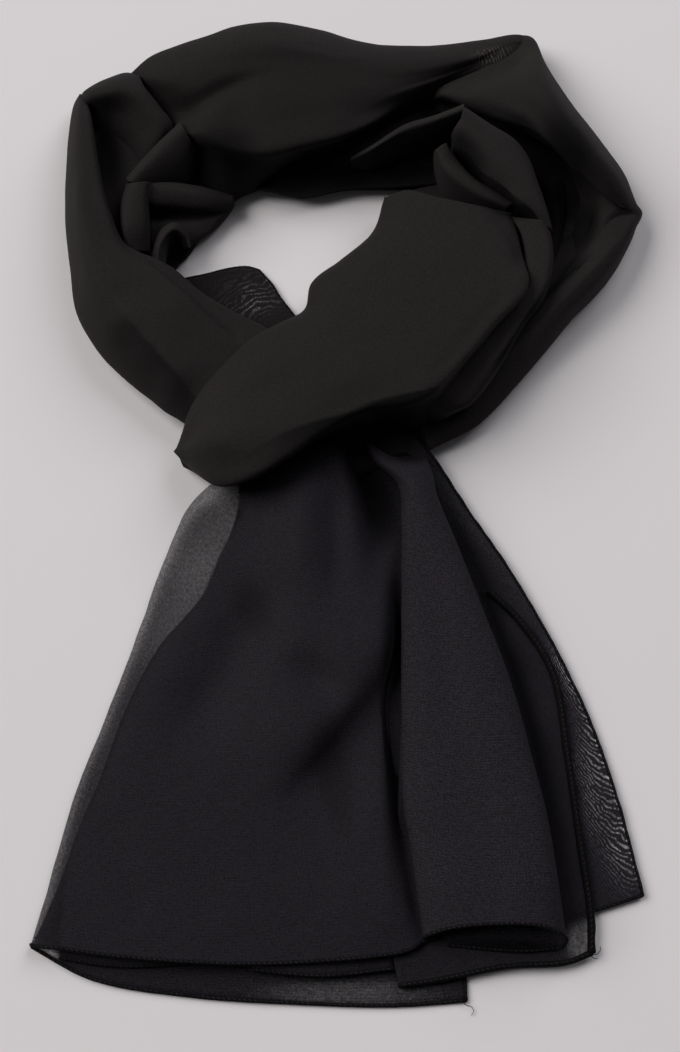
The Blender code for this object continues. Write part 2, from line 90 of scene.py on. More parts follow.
def makeFloor(half, height, colour, patches, darker, shader):
    mesh = bpy.data.meshes.new("floor")
    corners = ((-half, -half), (half, -half), (half, half), (-half, half))
    mesh.from_pydata([(x, y, height) for x, y in corners], [], [(0, 1, 2, 3)])
    material, tree, principled = nodeMaterial("paleTable")
    tone = addNode(tree, "TexNoise", {"Scale": patches})
    ramp = addNode(tree, "ValToRGB")
    ramp.color_ramp.elements[0].color = [c * darker for c in colour] + [1]
    ramp.color_ramp.elements[1].color = (*colour, 1)
    tree.links.new(tone.outputs["Fac"], ramp.inputs["Fac"])
    tree.links.new(ramp.outputs["Color"], principled.inputs["Base Color"])
    setSockets(principled, shader)
    mesh.materials.append(material)
    floor = addObject("floor", mesh)


def makeLights(sky, lights):
    world = bpy.data.worlds.new("studioSky")
    world.use_nodes = True
    setSockets(world.node_tree.nodes["Background"], sky)
    bpy.context.scene.world = world
    for name, light in lights.items():
        lamp = bpy.data.lights.new(name, "AREA")
        lamp.size, lamp.energy, lamp.color = light["size"], light["watts"], light["colour"]
        stand = addObject(name, lamp)
        stand.location = light["place"]
        stand.rotation_euler = (-Vector(light["place"])).to_track_quat("-Z", "Y").to_euler()


# finishes

crepe = {  # sizes as repeats in a metre of cloth
    "threads": 420.0, "threadBend": 0.35, "threadHeight": 0.5,
    "ribs": 240.0, "ribBend": 2.2, "ribDepth": 0.3, "bendSize": 0.6,
    "slubsAcross": (260, 1500, 1), "slubsAlong": (1500, 330, 1), "slubDepth": 1.2,
    "grain": (1250, 1250, 1), "grainDetail": 2.0, "grainDepth": 3.2,
}
moire = {  # sizes as repeats in a metre
    "wander": (150, 150, 150), "wanderDepth": 2.4, "narrower": -0.05, "sharper": 1.3,
    "cells": {"size": (900, 420, 1), "contrast": 5.0, "level": 0.8},
    "patches": {"size": (60, 45, 1), "contrast": 3.4, "level": 0.9},
}
surface = {  # what every finish shares
    "shader": {"Roughness": 0.72, "Specular IOR Level": 0.06, "Sheen Roughness": 0.45,
               "Sheen Tint": (0.72, 0.68, 0.74, 1)},
    "bump": {"Strength": 0.35, "Distance": 0.00012},
    "openWeave": 0.2, "bandLight": 2.0, "bandThinning": 0.34,
    # paintedShadeMost: how far the painted shade darkens the colour at most
    "crepeHoles": (560, 560, 1), "holeContrast": 0.9, "paintedShadeMost": 0.9,
}


def startGroup(name, inputs, outputs):  # a node group with these sockets, and its first and last node
    group = bpy.data.node_groups.new(name, "ShaderNodeTree")
    for socket, (kind, value) in inputs.items():
        made = group.interface.new_socket(socket, in_out="INPUT", socket_type="NodeSocket" + kind)
        if value is not None:
            made.default_value = value
    for socket in outputs:
        group.interface.new_socket(socket, in_out="OUTPUT", socket_type="NodeSocketFloat")
    return group, group.nodes.new("NodeGroupInput"), group.nodes.new("NodeGroupOutput")


def combine(tree, operation, first, second=0, clamp=False):  # arithmetic on numbers or other nodes' outputs
    node = addNode(tree, "Math", operation=operation, use_clamp=clamp)
    for socket, value in zip(node.inputs, (first, second)):
        if isinstance(value, (int, float)):
            socket.default_value = value
        else:
            tree.links.new(value, socket)
    return node.outputs[0]


def speckle(tree, vector, scale, detail=1.0):  # noise around 0
    mapping = addNode(tree, "Mapping", {"Scale": scale})
    tree.links.new(vector, mapping.inputs["Vector"])
    speck = addNode(tree, "TexNoise", {"Scale": 1.0, "Detail": detail})
    tree.links.new(mapping.outputs["Vector"], speck.inputs["Vector"])
    return combine(tree, "SUBTRACT", speck.outputs["Fac"], 0.5)


def crepeWeaveGroup():  # crossed threads, fine ribs across the cloth, and grainy crepe yarns
    group, start, end = startGroup("crepeWeave", {
        "Cloth": ("Vector", None), "Threads": ("Float", crepe["threads"]), "Ribs": ("Float", crepe["ribs"]),
        "Grain": ("Float", 0.25),
    }, ("Tone", "Height"))
    cloth = start.outputs["Cloth"]
    waves = []
    for direction, rate, bend in (("X", "Threads", "threadBend"), ("Y", "Threads", "threadBend"),
                                  ("Y", "Ribs", "ribBend")):
        wave = addNode(group, "TexWave", {"Distortion": crepe[bend], "Detail Scale": crepe["bendSize"]},
                       bands_direction=direction)
        group.links.new(cloth, wave.inputs["Vector"])
        group.links.new(start.outputs[rate], wave.inputs["Scale"])
        waves.append(wave.outputs["Fac"])
    slubs = combine(group, "ADD", speckle(group, cloth, crepe["slubsAcross"]),
                    speckle(group, cloth, crepe["slubsAlong"]))
    grain = speckle(group, cloth, crepe["grain"], crepe["grainDetail"])
    grain = combine(group, "MULTIPLY", grain, crepe["grainDepth"])
    ribs = combine(group, "MULTIPLY", combine(group, "SUBTRACT", waves[2], 0.5), crepe["ribDepth"])
    uneven = combine(group, "ADD", combine(group, "ADD", grain, ribs),
                     combine(group, "MULTIPLY", slubs, crepe["slubDepth"]))
    shade = combine(group, "MULTIPLY", uneven, start.outputs["Grain"])
    group.links.new(combine(group, "ADD", shade, 1.0), end.inputs["Tone"])
    threads = combine(group, "MULTIPLY", combine(group, "MAXIMUM", waves[0], waves[1]), crepe["threadHeight"])
    group.links.new(combine(group, "ADD", threads, uneven), end.inputs["Height"])
    return group


def moireGroup():  # watery bands where two thin layers lie on each other; Mask is 1 on the bright bands
    group, start, end = startGroup("wateryBands", {
        "Place": ("Vector", None), "Centre": ("Vector", None), "Turn": ("Vector", None),
        "Shape": ("Vector", (1.0, 1.0, 1.0)), "Where": ("Float", 0.0),
    }, ("Mask",))
    rings = addNode(group, "Mapping", vector_type="TEXTURE")
    sockets = {"Place": "Vector", "Centre": "Location", "Turn": "Rotation", "Shape": "Scale"}
    for name, socket in sockets.items():
        group.links.new(start.outputs[name], rings.inputs[socket])
    flat = addNode(group, "VectorMath", {1: (1, 1, 0)}, operation="MULTIPLY")
    away = addNode(group, "VectorMath", operation="LENGTH")
    group.links.new(rings.outputs["Vector"], flat.inputs[0])
    group.links.new(flat.outputs[0], away.inputs[0])
    place = start.outputs["Place"]
    wander = combine(group, "MULTIPLY", speckle(group, place, moire["wander"]), moire["wanderDepth"])
    phase = combine(group, "ADD", away.outputs["Value"], wander)
    wave = combine(group, "SINE", combine(group, "MULTIPLY", phase, 2 * math.pi))
    narrow = combine(group, "ADD", wave, moire["narrower"])
    bands = combine(group, "MULTIPLY", narrow, moire["sharper"], clamp=True)
    for breaks in (moire["cells"], moire["patches"]):
        shown = combine(group, "MULTIPLY", speckle(group, place, breaks["size"]), breaks["contrast"])
        shown = combine(group, "ADD", shown, breaks["level"], clamp=True)
        bands = combine(group, "MULTIPLY", bands, shown)
    group.links.new(combine(group, "MULTIPLY", bands, start.outputs["Where"], clamp=True), end.inputs["Mask"])
    return group


crepeWeave, wateryBands = crepeWeaveGroup(), moireGroup()
toMetres = 0.001


def bandMask(tree, rings):  # the watery bands around a centre, where the cloth has its watery mark
    where = addNode(tree, "Attribute", attribute_name="watery")
    place = addNode(tree, "TexCoord")
    band = addNode(tree, "Group", node_tree=wateryBands)
    setSockets(band, {"Centre": (*(v * toMetres for v in rings["centre"]), 0),
                      "Turn": (0, 0, math.radians(rings["turn"])),
                      "Shape": (*(v * toMetres for v in rings["period"]), 1)})
    tree.links.new(place.outputs["Object"], band.inputs["Place"])
    tree.links.new(where.outputs["Fac"], band.inputs["Where"])
    return band.outputs["Mask"]


def chiffon(name, colour, grain, cover=1.0, thin=0.0, watery=0.0, sheen=0.02, rings=None):
    material, tree, shader = nodeMaterial(name)
    cloth = addNode(tree, "UVMap", uv_map="cloth").outputs["UV"]
    weave = addNode(tree, "Group", node_tree=crepeWeave)
    setSockets(weave, {"Grain": grain})
    tree.links.new(cloth, weave.inputs["Cloth"])
    tone = weave.outputs["Tone"]
    alpha = cover
    if cover < 1:
        openings = combine(tree, "MULTIPLY", tone, surface["openWeave"])
        alpha = combine(tree, "SUBTRACT", cover + surface["openWeave"], openings)
    if watery:
        mask = bandMask(tree, rings)
        tone = combine(tree, "ADD", tone, combine(tree, "MULTIPLY", mask, watery * surface["bandLight"]))
        if cover < 1:
            thinner = combine(tree, "MULTIPLY", mask, watery * surface["bandThinning"])
            alpha = combine(tree, "SUBTRACT", alpha, thinner)
    if thin:
        thinned = addNode(tree, "Attribute", attribute_name="thin").outputs["Fac"]
        specks = speckle(tree, cloth, surface["crepeHoles"])
        specks = combine(tree, "ADD", combine(tree, "MULTIPLY", specks, surface["holeContrast"]), 1.0)
        holes = combine(tree, "MULTIPLY", thinned, specks)
        alpha = combine(tree, "SUBTRACT", alpha, combine(tree, "MULTIPLY", holes, thin), clamp=True)
    # painted shade: the deep mark darkens the colour where the cloth lies in shade in folds, hollows and
    # under other layers
    paintedShadeMask = addNode(tree, "Attribute", attribute_name="deep").outputs["Fac"]
    shown = combine(tree, "SUBTRACT", 1.0, combine(tree, "MULTIPLY", paintedShadeMask, surface["paintedShadeMost"]), clamp=True)
    tint = addNode(tree, "VectorMath", {0: colour}, operation="SCALE")
    tree.links.new(combine(tree, "MULTIPLY", tone, shown), tint.inputs["Scale"])
    tree.links.new(tint.outputs[0], shader.inputs["Base Color"])
    if cover < 1:
        tree.links.new(alpha, shader.inputs["Alpha"])
    bump = addNode(tree, "Bump", surface["bump"])
    tree.links.new(weave.outputs["Height"], bump.inputs["Height"])
    tree.links.new(bump.outputs["Normal"], shader.inputs["Normal"])
    setSockets(shader, {**surface["shader"], "Sheen Weight": sheen})
    return material


# The far, flap and under blacks are darker copies of the ring and tail blacks: painted shade on the back
# band, the neck flap and the tail's under layer.
blacks = {
    "ring": (0.0168, 0.0145, 0.0142), "far": (0.0132, 0.0113, 0.0109), "flap": (0.0118, 0.0102, 0.0104),
    "tail": (0.0172, 0.0146, 0.0190), "under": (0.0140, 0.0120, 0.0155), "hem": (0.0040, 0.0036, 0.0042),
    "thread": (0.045, 0.04, 0.048),
}
farCells = {"centre": (40.5, 210.5), "turn": 12, "period": (1.9, 2.4)}  # centres and periods in millimetres
nearCells = {"centre": (117.5, 95.5), "turn": -35, "period": (2.0, 1.6)}
flapScales = {"centre": (-40, 74.5), "turn": 10, "period": (3.2, 2.8)}
longArcs = {"centre": (96, -75), "turn": 14, "period": (0.74, 3.1)}
finishes = {
    "ring": chiffon("blackChiffon", blacks["ring"], grain=0.38),
    "farShadedWatery": chiffon("blackChiffonFarShaded", blacks["far"], watery=2.2, grain=0.38, rings=farCells),
    "nearWatery": chiffon("blackChiffonNear", blacks["ring"], watery=1.0, grain=0.38, rings=nearCells),
    "tail": chiffon("blackChiffonTail", blacks["tail"], grain=0.8),
    "sheer": chiffon("sheerChiffon", blacks["tail"], cover=0.92, thin=0.5, grain=0.7),
    "under": chiffon("underChiffonShaded", blacks["under"], cover=0.87, thin=0.85, grain=0.9),
    "flap": chiffon("sheerChiffonFlapShaded", blacks["flap"], cover=0.94, thin=0.5, watery=2.6, grain=0.5,
                    rings=flapScales),
    "sheerWatery": chiffon("sheerChiffonWatery", blacks["tail"], cover=0.86, thin=0.6, watery=3.6, grain=0.7,
                           rings=longArcs),
    "hem": chiffon("hemChiffon", blacks["hem"], grain=0.5),
    "thread": chiffon("blackThread", blacks["thread"], grain=0.5, sheen=0.1),
}


# cloth making, in millimetres

making = {
    "usual": {"spacing": 1.8, "uneven": 0.35, "thickness": 0.35, "feet": None, "ends": (0, 0), "creases": (),
              "marks": {}},
    "clearance": 0.15,                 # over the floor
    "sideSteps": 8, "pathSteps": 6,    # between two points of a section, and of a crease
    "rounding": (20, 40, 58, 74, 86),  # degrees round a closed end
    "undercut": 0.5,                   # least drop from a side to its foot
    "tuckBehind": -0.15, "tuckEdge": 0.6, "stepEdge": 0.35, "stepReach": 2,
    "waves": 26, "dents": 11, "dentShare": 0.45, "ripples": 4.5, "rippleRise": 9, "rippleShare": 0.16,
    "spotFall": 0.9,
}


def lengths(line):  # from each point of a line to the next
    return np.linalg.norm(np.diff(line, axis=0), axis=1)


def unit(vectors):
    return vectors / np.maximum(np.linalg.norm(vectors, axis=-1, keepdims=True), 1e-9)


def curve(rows, steps):  # a smooth line through the rows, with this many steps between two of them
    rows = np.asarray(rows, float)
    spans = np.sqrt(np.maximum(lengths(rows)[:, None], 1e-6))
    rates = np.diff(rows, axis=0) / spans
    inner = (rates[:-1] * spans[1:] + rates[1:] * spans[:-1]) / (spans[:-1] + spans[1:])
    slopes = np.vstack([rates[:1], inner, rates[-1:]])
    t = (np.arange(steps) / steps)[:, None]
    parts = [(2 * t**3 - 3 * t**2 + 1) * rows[i] + (t**3 - 2 * t**2 + t) * slopes[i] * span
             + (3 * t**2 - 2 * t**3) * rows[i + 1] + (t**3 - t**2) * slopes[i + 1] * span
             for i, span in enumerate(spans)]
    return np.vstack([*parts, rows[-1:]])


def evenly(line, count):  # the line again with so many points, equally far apart
    along = np.concatenate([[0], np.cumsum(lengths(line))])
    at = np.linspace(0, along[-1], count)
    return np.stack([np.interp(at, along, line[:, k]) for k in range(3)], axis=1)


def footLine(side, beside, middle, inset, level):  # where a side ends that curls in under the cloth
    step, inwards = (beside - side) * (1, 1, 0), (middle - side) * (1, 1, 0)
    leaningOut = (step * inwards).sum(axis=1, keepdims=True) < 0
    step = np.where(leaningOut, inwards, step)
    length = np.maximum(np.linalg.norm(step, axis=1, keepdims=True), 1e-6)
    foot = side + step / length * np.minimum(inset, length * 3)
    foot[:, 2] = np.minimum(level, side[:, 2] - making["undercut"])
    return foot


def closeEnds(grid, ends, level):  # rounds the first and last section off by these lengths; 0 leaves one open
    made = [grid]
    for which, length in ((0, ends[0]), (-1, ends[1])):
        if not length:
            continue
        last, before = (grid[0], grid[1]) if which == 0 else (grid[-1], grid[-2])
        centre = last.mean(axis=0) * (1, 1, 0) + (0, 0, level)
        out = (last - before).mean(axis=0) * (1, 1, 0)
        out /= max(np.linalg.norm(out), 1e-6)
        rows = [centre + (last - centre) * math.cos(turn) + out * length * math.sin(turn)
                for turn in np.radians(making["rounding"])]
        made = [np.array(rows[::-1])] + made if which == 0 else made + [np.array(rows)]
    return np.concatenate(made)


def foldSurface(folds, spacing, feet, ends):  # the cloth through its fold lines, as rows of points
    rails = [np.asarray(rows, float) for rows in folds.values()]
    first, last, level = feet or (0, 0, 0)  # how far its sides curl in, and down to what height
    if feet:
        middle = rails[len(rails) // 2]
        rails.insert(0, footLine(rails[0], rails[1], middle, first, level))
        rails.append(footLine(rails[-1], rails[-2], middle, last, level))
    longest = max(lengths(rail).sum() for rail in rails)
    steps = max(3, math.ceil(longest / (len(rails[0]) - 1) / spacing))
    lines = np.stack([curve(rail, steps) for rail in rails], axis=1)
    columns = math.ceil(max(lengths(section).sum() for section in lines) / spacing) + 1
    grid = np.array([evenly(curve(section, making["sideSteps"]), columns) for section in lines])
    return closeEnds(grid, ends, level)


def gridNormals(grid):
    normals = unit(np.cross(np.gradient(grid, axis=1), np.gradient(grid, axis=0)))
    return normals * np.sign(normals[:, :, 2].sum())


def alongPath(path, points):  # each point's distance from a path in plan, its side, and its share along it
    path = curve(np.hstack([np.asarray(path, float), np.zeros((len(path), 1))]), making["pathSteps"])[:, :2]
    along = np.concatenate([[0], np.cumsum(lengths(path))])
    flat = points[..., :2].reshape(-1, 2)
    best, side, share = np.full(len(flat), 1e9), np.zeros(len(flat)), np.zeros(len(flat))
    for i in range(len(path) - 1):
        step = path[i + 1] - path[i]
        t = np.clip((flat - path[i]) @ step / max(step @ step, 1e-9), 0, 1)
        away = flat - path[i] - t[:, None] * step
        far = np.linalg.norm(away, axis=1)
        near = far < best
        best[near] = far[near]
        side[near] = np.sign(step[0] * away[near, 1] - step[1] * away[near, 0])
        share[near] = (along[i] + t[near] * np.linalg.norm(step)) / along[-1]
    shape = points.shape[:2]
    return best.reshape(shape), side.reshape(shape), share.reshape(shape)


def creaseShape(kind, width, far, side):
    if kind == "soft":  # a rounded trough or ridge
        return np.exp(-(far / width) ** 2)
    if kind == "pinch":  # a sharp one
        return np.exp(-far / width)
    if kind == "tuck":  # a trough on the right of the path, with a steep edge at the path
        over = np.where(side < 0, 1, making["tuckBehind"])
        return over * (1 - np.exp(-far / making["tuckEdge"])) * np.exp(-far / width)
    rise = 1 - np.exp(-far / (width * making["stepEdge"]))  # a step: the left of the path over its right
    return side * rise * np.exp(-(far / (width * making["stepReach"])) ** 2)


def press(grid, creases):  # pushes creases into the cloth, each fading towards its ends
    normals = gridNormals(grid)
    for crease in creases:
        far, side, share = alongPath(crease["path"], grid)
        fade = np.clip(np.minimum(share, 1 - share) * crease.get("fade", 4.0), 0, 1)
        fade = fade * fade * (3 - 2 * fade)
        shape = creaseShape(crease.get("kind", "soft"), crease["width"], far, side)
        grid = grid + normals * (crease["lift"] * fade * shape)[..., None]
    return grid


def unevenCloth(grid, amount, seed):  # the small unevenness of handled cloth
    normals = gridNormals(grid)
    waves, dents, ripples, rise = (making[size] for size in ("waves", "dents", "ripples", "rippleRise"))
    lift = np.empty(grid.shape[:2])
    for i, row in enumerate(grid):
        for j, (x, y, z) in enumerate(row):
            lift[i, j] = (noise.noise((x / waves + seed, y / waves, z / waves))
                          + making["dentShare"] * noise.noise((x / dents, y / dents + seed, z / dents))
                          + making["rippleShare"] * noise.noise((x / ripples, y / ripples + seed, z / rise)))
    return grid + normals * (lift * amount)[..., None]


def markSpots(grid, spots):  # from 0 to 1 over the cloth, high in each spot and on the right of each path
    value = np.zeros(grid.shape[:2])
    for spot in spots:
        if isinstance(spot, dict):
            far, side, share = alongPath(spot["path"], grid)
            strength = np.interp(share, np.linspace(0, 1, len(spot["strengths"])), spot["strengths"])
            edge = np.clip(0.5 - side * far / spot["edge"], 0, 1)
            value = np.maximum(value, strength * edge * np.exp(-(far / spot["reach"]) ** 2))
            continue
        x, y, wide, tall, turn, strength = spot
        c, s = math.cos(math.radians(turn)), math.sin(math.radians(turn))
        dx, dy = grid[..., 0] - x, grid[..., 1] - y
        far = ((dx * c + dy * s) / wide) ** 2 + ((dy * c - dx * s) / tall) ** 2
        value = np.maximum(value, strength * np.exp(-far**2 * making["spotFall"]))
    return np.clip(value, 0, 1)


def addPiece(name, points, faces, cloth, finish, marks):  # cloth holds each point's place on the flat cloth
    mesh = bpy.data.meshes.new(name)
    mesh.from_pydata((points * toMetres).tolist(), [], faces)
    layer = mesh.uv_layers.new(name="cloth")
    corners = np.zeros(len(mesh.loops), int)
    mesh.loops.foreach_get("vertex_index", corners)
    layer.data.foreach_set("uv", (cloth * toMetres)[corners].ravel())
    for mark, values in marks.items():
        attribute = mesh.attributes.new(mark, "FLOAT", "POINT")
        attribute.data.foreach_set("value", values.ravel().astype(np.float32))
    mesh.materials.append(finishes[finish])
    mesh.shade_smooth()
    return addObject(name, mesh)


def sheetPiece(name, grid, finish, thickness, marks):  # the surface as a thin shell
    rows, columns = grid.shape[:2]
    index = np.arange(rows * columns).reshape(rows, columns)
    faces = np.stack([index[:-1, :-1], index[:-1, 1:], index[1:, 1:], index[1:, :-1]], axis=-1).reshape(-1, 4)
    points = grid.reshape(-1, 3)
    a, b, d = (points[faces[:, k]] for k in (0, 1, 3))
    if np.cross(b - a, d - a)[:, 2].sum() < 0:
        faces = faces[:, ::-1]
    across = np.zeros((rows, columns))
    across[:, 1:] = np.cumsum(np.linalg.norm(np.diff(grid, axis=1), axis=2), axis=1)
    across -= across.mean(axis=1, keepdims=True)
    along = np.zeros((rows, columns))
    along[1:] = np.cumsum(np.linalg.norm(np.diff(grid, axis=0), axis=2), axis=0)
    along = (along + along.mean(axis=1, keepdims=True)) / 2
    cloth = np.stack([across, along], axis=-1).reshape(-1, 2)
    values = {mark: markSpots(grid, spots) for mark, spots in marks.items()}
    piece = addPiece(name, points, faces.tolist(), cloth, finish, values)
    shell = piece.modifiers.new("clothThickness", "SOLIDIFY")
    shell.thickness = thickness * toMetres
    shell.offset = -1
    return piece


def settle(piece, replaces=()):
    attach(piece, "root")
    if replaces:
        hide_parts(*replaces)


def gridArea(grid):  # in square metres
    a, b, c, d = grid[:-1, :-1], grid[:-1, 1:], grid[1:, 1:], grid[1:, :-1]
    twice = np.linalg.norm(np.cross(b - a, d - a), axis=2) + np.linalg.norm(np.cross(b - c, d - c), axis=2)
    return float(twice.sum() / 2) * toMetres**2


def makeCloth(name, cloth):
    cloth = {**making["usual"], **cloth}
    grid = foldSurface(cloth["folds"], cloth["spacing"], cloth["feet"], cloth["ends"])
    grid = unevenCloth(press(grid, cloth["creases"]), cloth["uneven"], cloth["seed"])
    grid[..., 2] = np.maximum(grid[..., 2], making["clearance"] + cloth["thickness"])
    piece = sheetPiece(name, grid, cloth["finish"], cloth["thickness"], cloth["marks"])
    settle(piece, cloth["stands"])
    print(f"{name}: {grid.shape[0]} x {grid.shape[1]} points, {gridArea(grid):.4f} square metres")
    return piece, grid


def atHeight(height, places):  # a fold line that keeps one height
    return tuple((x, y, height) for x, y in places)


# The stretches of cloth. Their fold lines lie side by side, and each runs along the stretch. A mark's spot is
# its place, half width, half length, turn and strength; a path is followed in plan.
# The deep mark is painted shade: it darkens the cloth's colour where it lies in shade.

bed = {
    "finish": "ring", "stands": ("ring_bed",), "seed": 2.0, "spacing": 3.0, "uneven": 0.5,
    "feet": (2.0, 2.0, 0.6),
    "marks": {
        # painted shade where the bed lies in shade under the ring
        "deep": ((110, 161, 24, 30, 0, 0.95), (-128.5, 173, 9, 24, 8, 0.85)),
    },
    "folds": {
        "outerSide": atHeight(3, ((-60, -8.5), (-30, -13), (-1.5, -8.5), (25, 1), (53, 18), (72, 37.5),
            (92.5, 64), (111, 86.5), (131.5, 113), (143.5, 135.5), (139, 156), (129, 176.5), (115.5, 201.5),
            (102.5, 223), (91, 241.5), (63, 240), (26, 238.5), (-3.5, 244), (-33, 253), (-60, 250.5),
            (-83, 241.5), (-107, 227), (-127.5, 214), (-138.5, 203), (-141.5, 178), (-141, 147.5),
            (-138.5, 112), (-129.5, 78.5), (-114.5, 56), (-94, 38.5), (-76.5, 25.5))),
        "outerTop": atHeight(6, ((-58, -5.5), (-30, -9.5), (-2.5, -5.5), (22.5, 4), (49.5, 21), (68, 40.5),
            (88.5, 67), (107, 89.5), (126, 114.5), (137, 133.5), (133, 151.5), (123, 171), (110, 195.5),
            (97, 216), (86, 232.5), (63, 231), (25.5, 230), (-3.5, 235), (-33, 244), (-57.5, 242),
            (-79.5, 234), (-103.5, 219.5), (-123, 207), (-133.5, 197), (-136, 174.5), (-136, 145.5),
            (-133.5, 111), (-125.5, 80.5), (-111, 59), (-91, 41.5), (-74, 29.5))),
        "innerTop": atHeight(6, ((-54, 4), (-29.5, 21), (-20, 47), (-19, 74.5), (-11, 93), (0, 106.5),
            (13, 122), (20.5, 136), (25.5, 145.5), (30.5, 150.5), (36, 154), (39, 156.5), (37, 158.5),
            (31, 160), (21.5, 158.5), (10, 157.5), (-3, 157), (-16.5, 155), (-26.5, 153.5), (-37, 154.5),
            (-46.5, 157), (-54.5, 154.5), (-61.5, 150.5), (-68, 144.5), (-73.5, 137), (-79.5, 127.5),
            (-85, 118), (-92.5, 106.5), (-83, 87), (-68.5, 70), (-56, 53.5))),
        "innerSide": atHeight(3, ((-55.5, 8.5), (-33.5, 25.5), (-24, 49.5), (-23, 78.5), (-15, 98),
            (-3.5, 112.5), (9, 127), (17, 141.5), (21.5, 150), (26.5, 152), (32, 153), (36, 154.5),
            (36, 154.5), (31, 154), (21.5, 153.5), (10.5, 153.5), (-3, 153), (-16.5, 150.5), (-25, 148.5),
            (-35, 150.5), (-45.5, 153.5), (-52.5, 151.5), (-58.5, 148), (-64.5, 141.5), (-70.5, 133),
            (-77, 123.5), (-82, 115), (-88.5, 105.5), (-79.5, 92.5), (-65, 76.5), (-52.5, 59.5))),
    },
}
leftArm = {
    "finish": "ring", "stands": ("ring_left",), "seed": 3.1, "feet": (5.0, 5.0, 4.0), "ends": (0.8, 2),
    "marks": {
        # painted shade on the plane beside the arm's ridge
        "deep": (
            {"path": ((-119, 77), (-107, 61.5), (-96.5, 49.5), (-86, 37.5), (-74, 24.5)),
             "edge": 1.2, "reach": 12, "strengths": (0, 0.35, 0.6, 0.6, 0.45)},
        ),
    },
    "creases": (
        {"path": ((-116, 75), (-106.5, 62.5), (-96, 50.5), (-85, 39), (-74, 26.5)),
         "kind": "pinch", "width": 7, "lift": 3.4, "fade": 4},
        {"path": ((-115.5, 63), (-101.5, 42.5), (-86, 25)), "width": 6, "lift": -2.2, "fade": 3},
        {"path": ((-51.5, 51.5), (-63, 62), (-76.5, 74), (-92.5, 89), (-104, 98.5)),
         "kind": "tuck", "width": 5, "lift": -3.2, "fade": 6},
        {"path": ((-141, 160.5), (-139.5, 122.5), (-132, 80)), "width": 5, "lift": -0.7},
        {"path": ((-80.5, 79.5), (-67, 66), (-51.5, 52)), "width": 3, "lift": -0.8},
    ),
    "folds": {
        "outerSide": ((-142.5, 208.5, 9), (-145.5, 197.5, 10), (-147, 162, 8), (-146, 135, 8),
            (-141.5, 103, 8), (-136, 76, 8), (-122, 53.5, 8), (-102, 33.5, 8), (-80.5, 17.5, 8),
            (-61.5, 6.5, 8)),
        "outerCrest": ((-141, 206, 12), (-139, 182.5, 27), (-137, 146.5, 31), (-134, 120, 32),
            (-127.5, 90, 31), (-117.5, 67, 28), (-106, 50, 26), (-90.5, 34, 24), (-78.5, 25, 22),
            (-65.5, 17, 20)),
        "innerCrest": ((-140, 205.5, 12), (-136, 180, 28), (-131.5, 147.5, 31.5), (-126.5, 123, 31.5),
            (-112.5, 99.5, 31), (-98, 86, 31), (-84, 72.5, 31), (-72, 60, 28), (-59, 47.5, 25),
            (-46.5, 36, 21)),
        "innerRoll": ((-139.5, 206, 10), (-133, 180, 27), (-127, 148, 30), (-120.5, 123, 30.5),
            (-111, 105.5, 26), (-92.5, 93, 27.5), (-77.5, 78, 27.5), (-62.5, 66.5, 25.5), (-48.5, 57.5, 22.5),
            (-34.5, 48.5, 18)),
        "innerSide": ((-139.5, 207, 7), (-134.5, 188.5, 13), (-129, 158, 14), (-122, 132, 15),
            (-111.5, 110, 20), (-89, 98, 20), (-73.5, 84, 20), (-58, 74, 18), (-43.5, 67, 16),
            (-28.5, 55, 14)),
    },
}
shoulder = {
    "finish": "ring", "stands": ("ring_shoulder",), "seed": 4.3, "spacing": 1.5, "feet": (3.0, 3.0, 4.0),
    "marks": {
        # painted shade on the shoulder's lower part
        "deep": (
            {"path": ((-111.5, 120.5), (-121.5, 138), (-126.5, 160.5), (-130.5, 179), (-136, 196)),
             "edge": 2.0, "reach": 14, "strengths": (1, 1, 0.95, 0.85, 0.3)},
        ),
    },
    "creases": (
        {"path": ((-129.5, 195), (-123, 180.5), (-118.5, 162.5)), "width": 5, "lift": -0.8},
    ),
    "folds": {
        "backSide": ((-143, 206, 9), (-140, 208, 12), (-134, 212.5, 12), (-125.5, 217, 12), (-118, 219.5, 12),
            (-111, 217.5, 12)),
        "crest": ((-141.5, 199.5, 11), (-136, 198.5, 19), (-129, 197.5, 24), (-120.5, 199, 26),
            (-113, 202, 25), (-107, 204, 21)),
        "face": ((-138.5, 193, 8), (-134.5, 195, 10), (-126.5, 192.5, 12), (-117.5, 190.5, 16),
            (-103.5, 190, 23), (-99, 193, 20)),
        "low": ((-134.5, 178.5, 6), (-130, 181, 6.5), (-124.5, 180.5, 6.5), (-115, 178.5, 9),
            (-97, 179.5, 19), (-92, 183, 17)),
        "hem": ((-129.5, 162, 5), (-125.5, 164, 5), (-120.5, 161.5, 5.5), (-115, 161.5, 5.5),
            (-106, 165.5, 7), (-99, 171.5, 7)),
        "foot": ((-124.5, 144.5, 5), (-121, 146, 5), (-117.5, 144.5, 5), (-113.5, 146, 5), (-108.5, 148, 6),
            (-102.5, 155.5, 7)),
    },
}
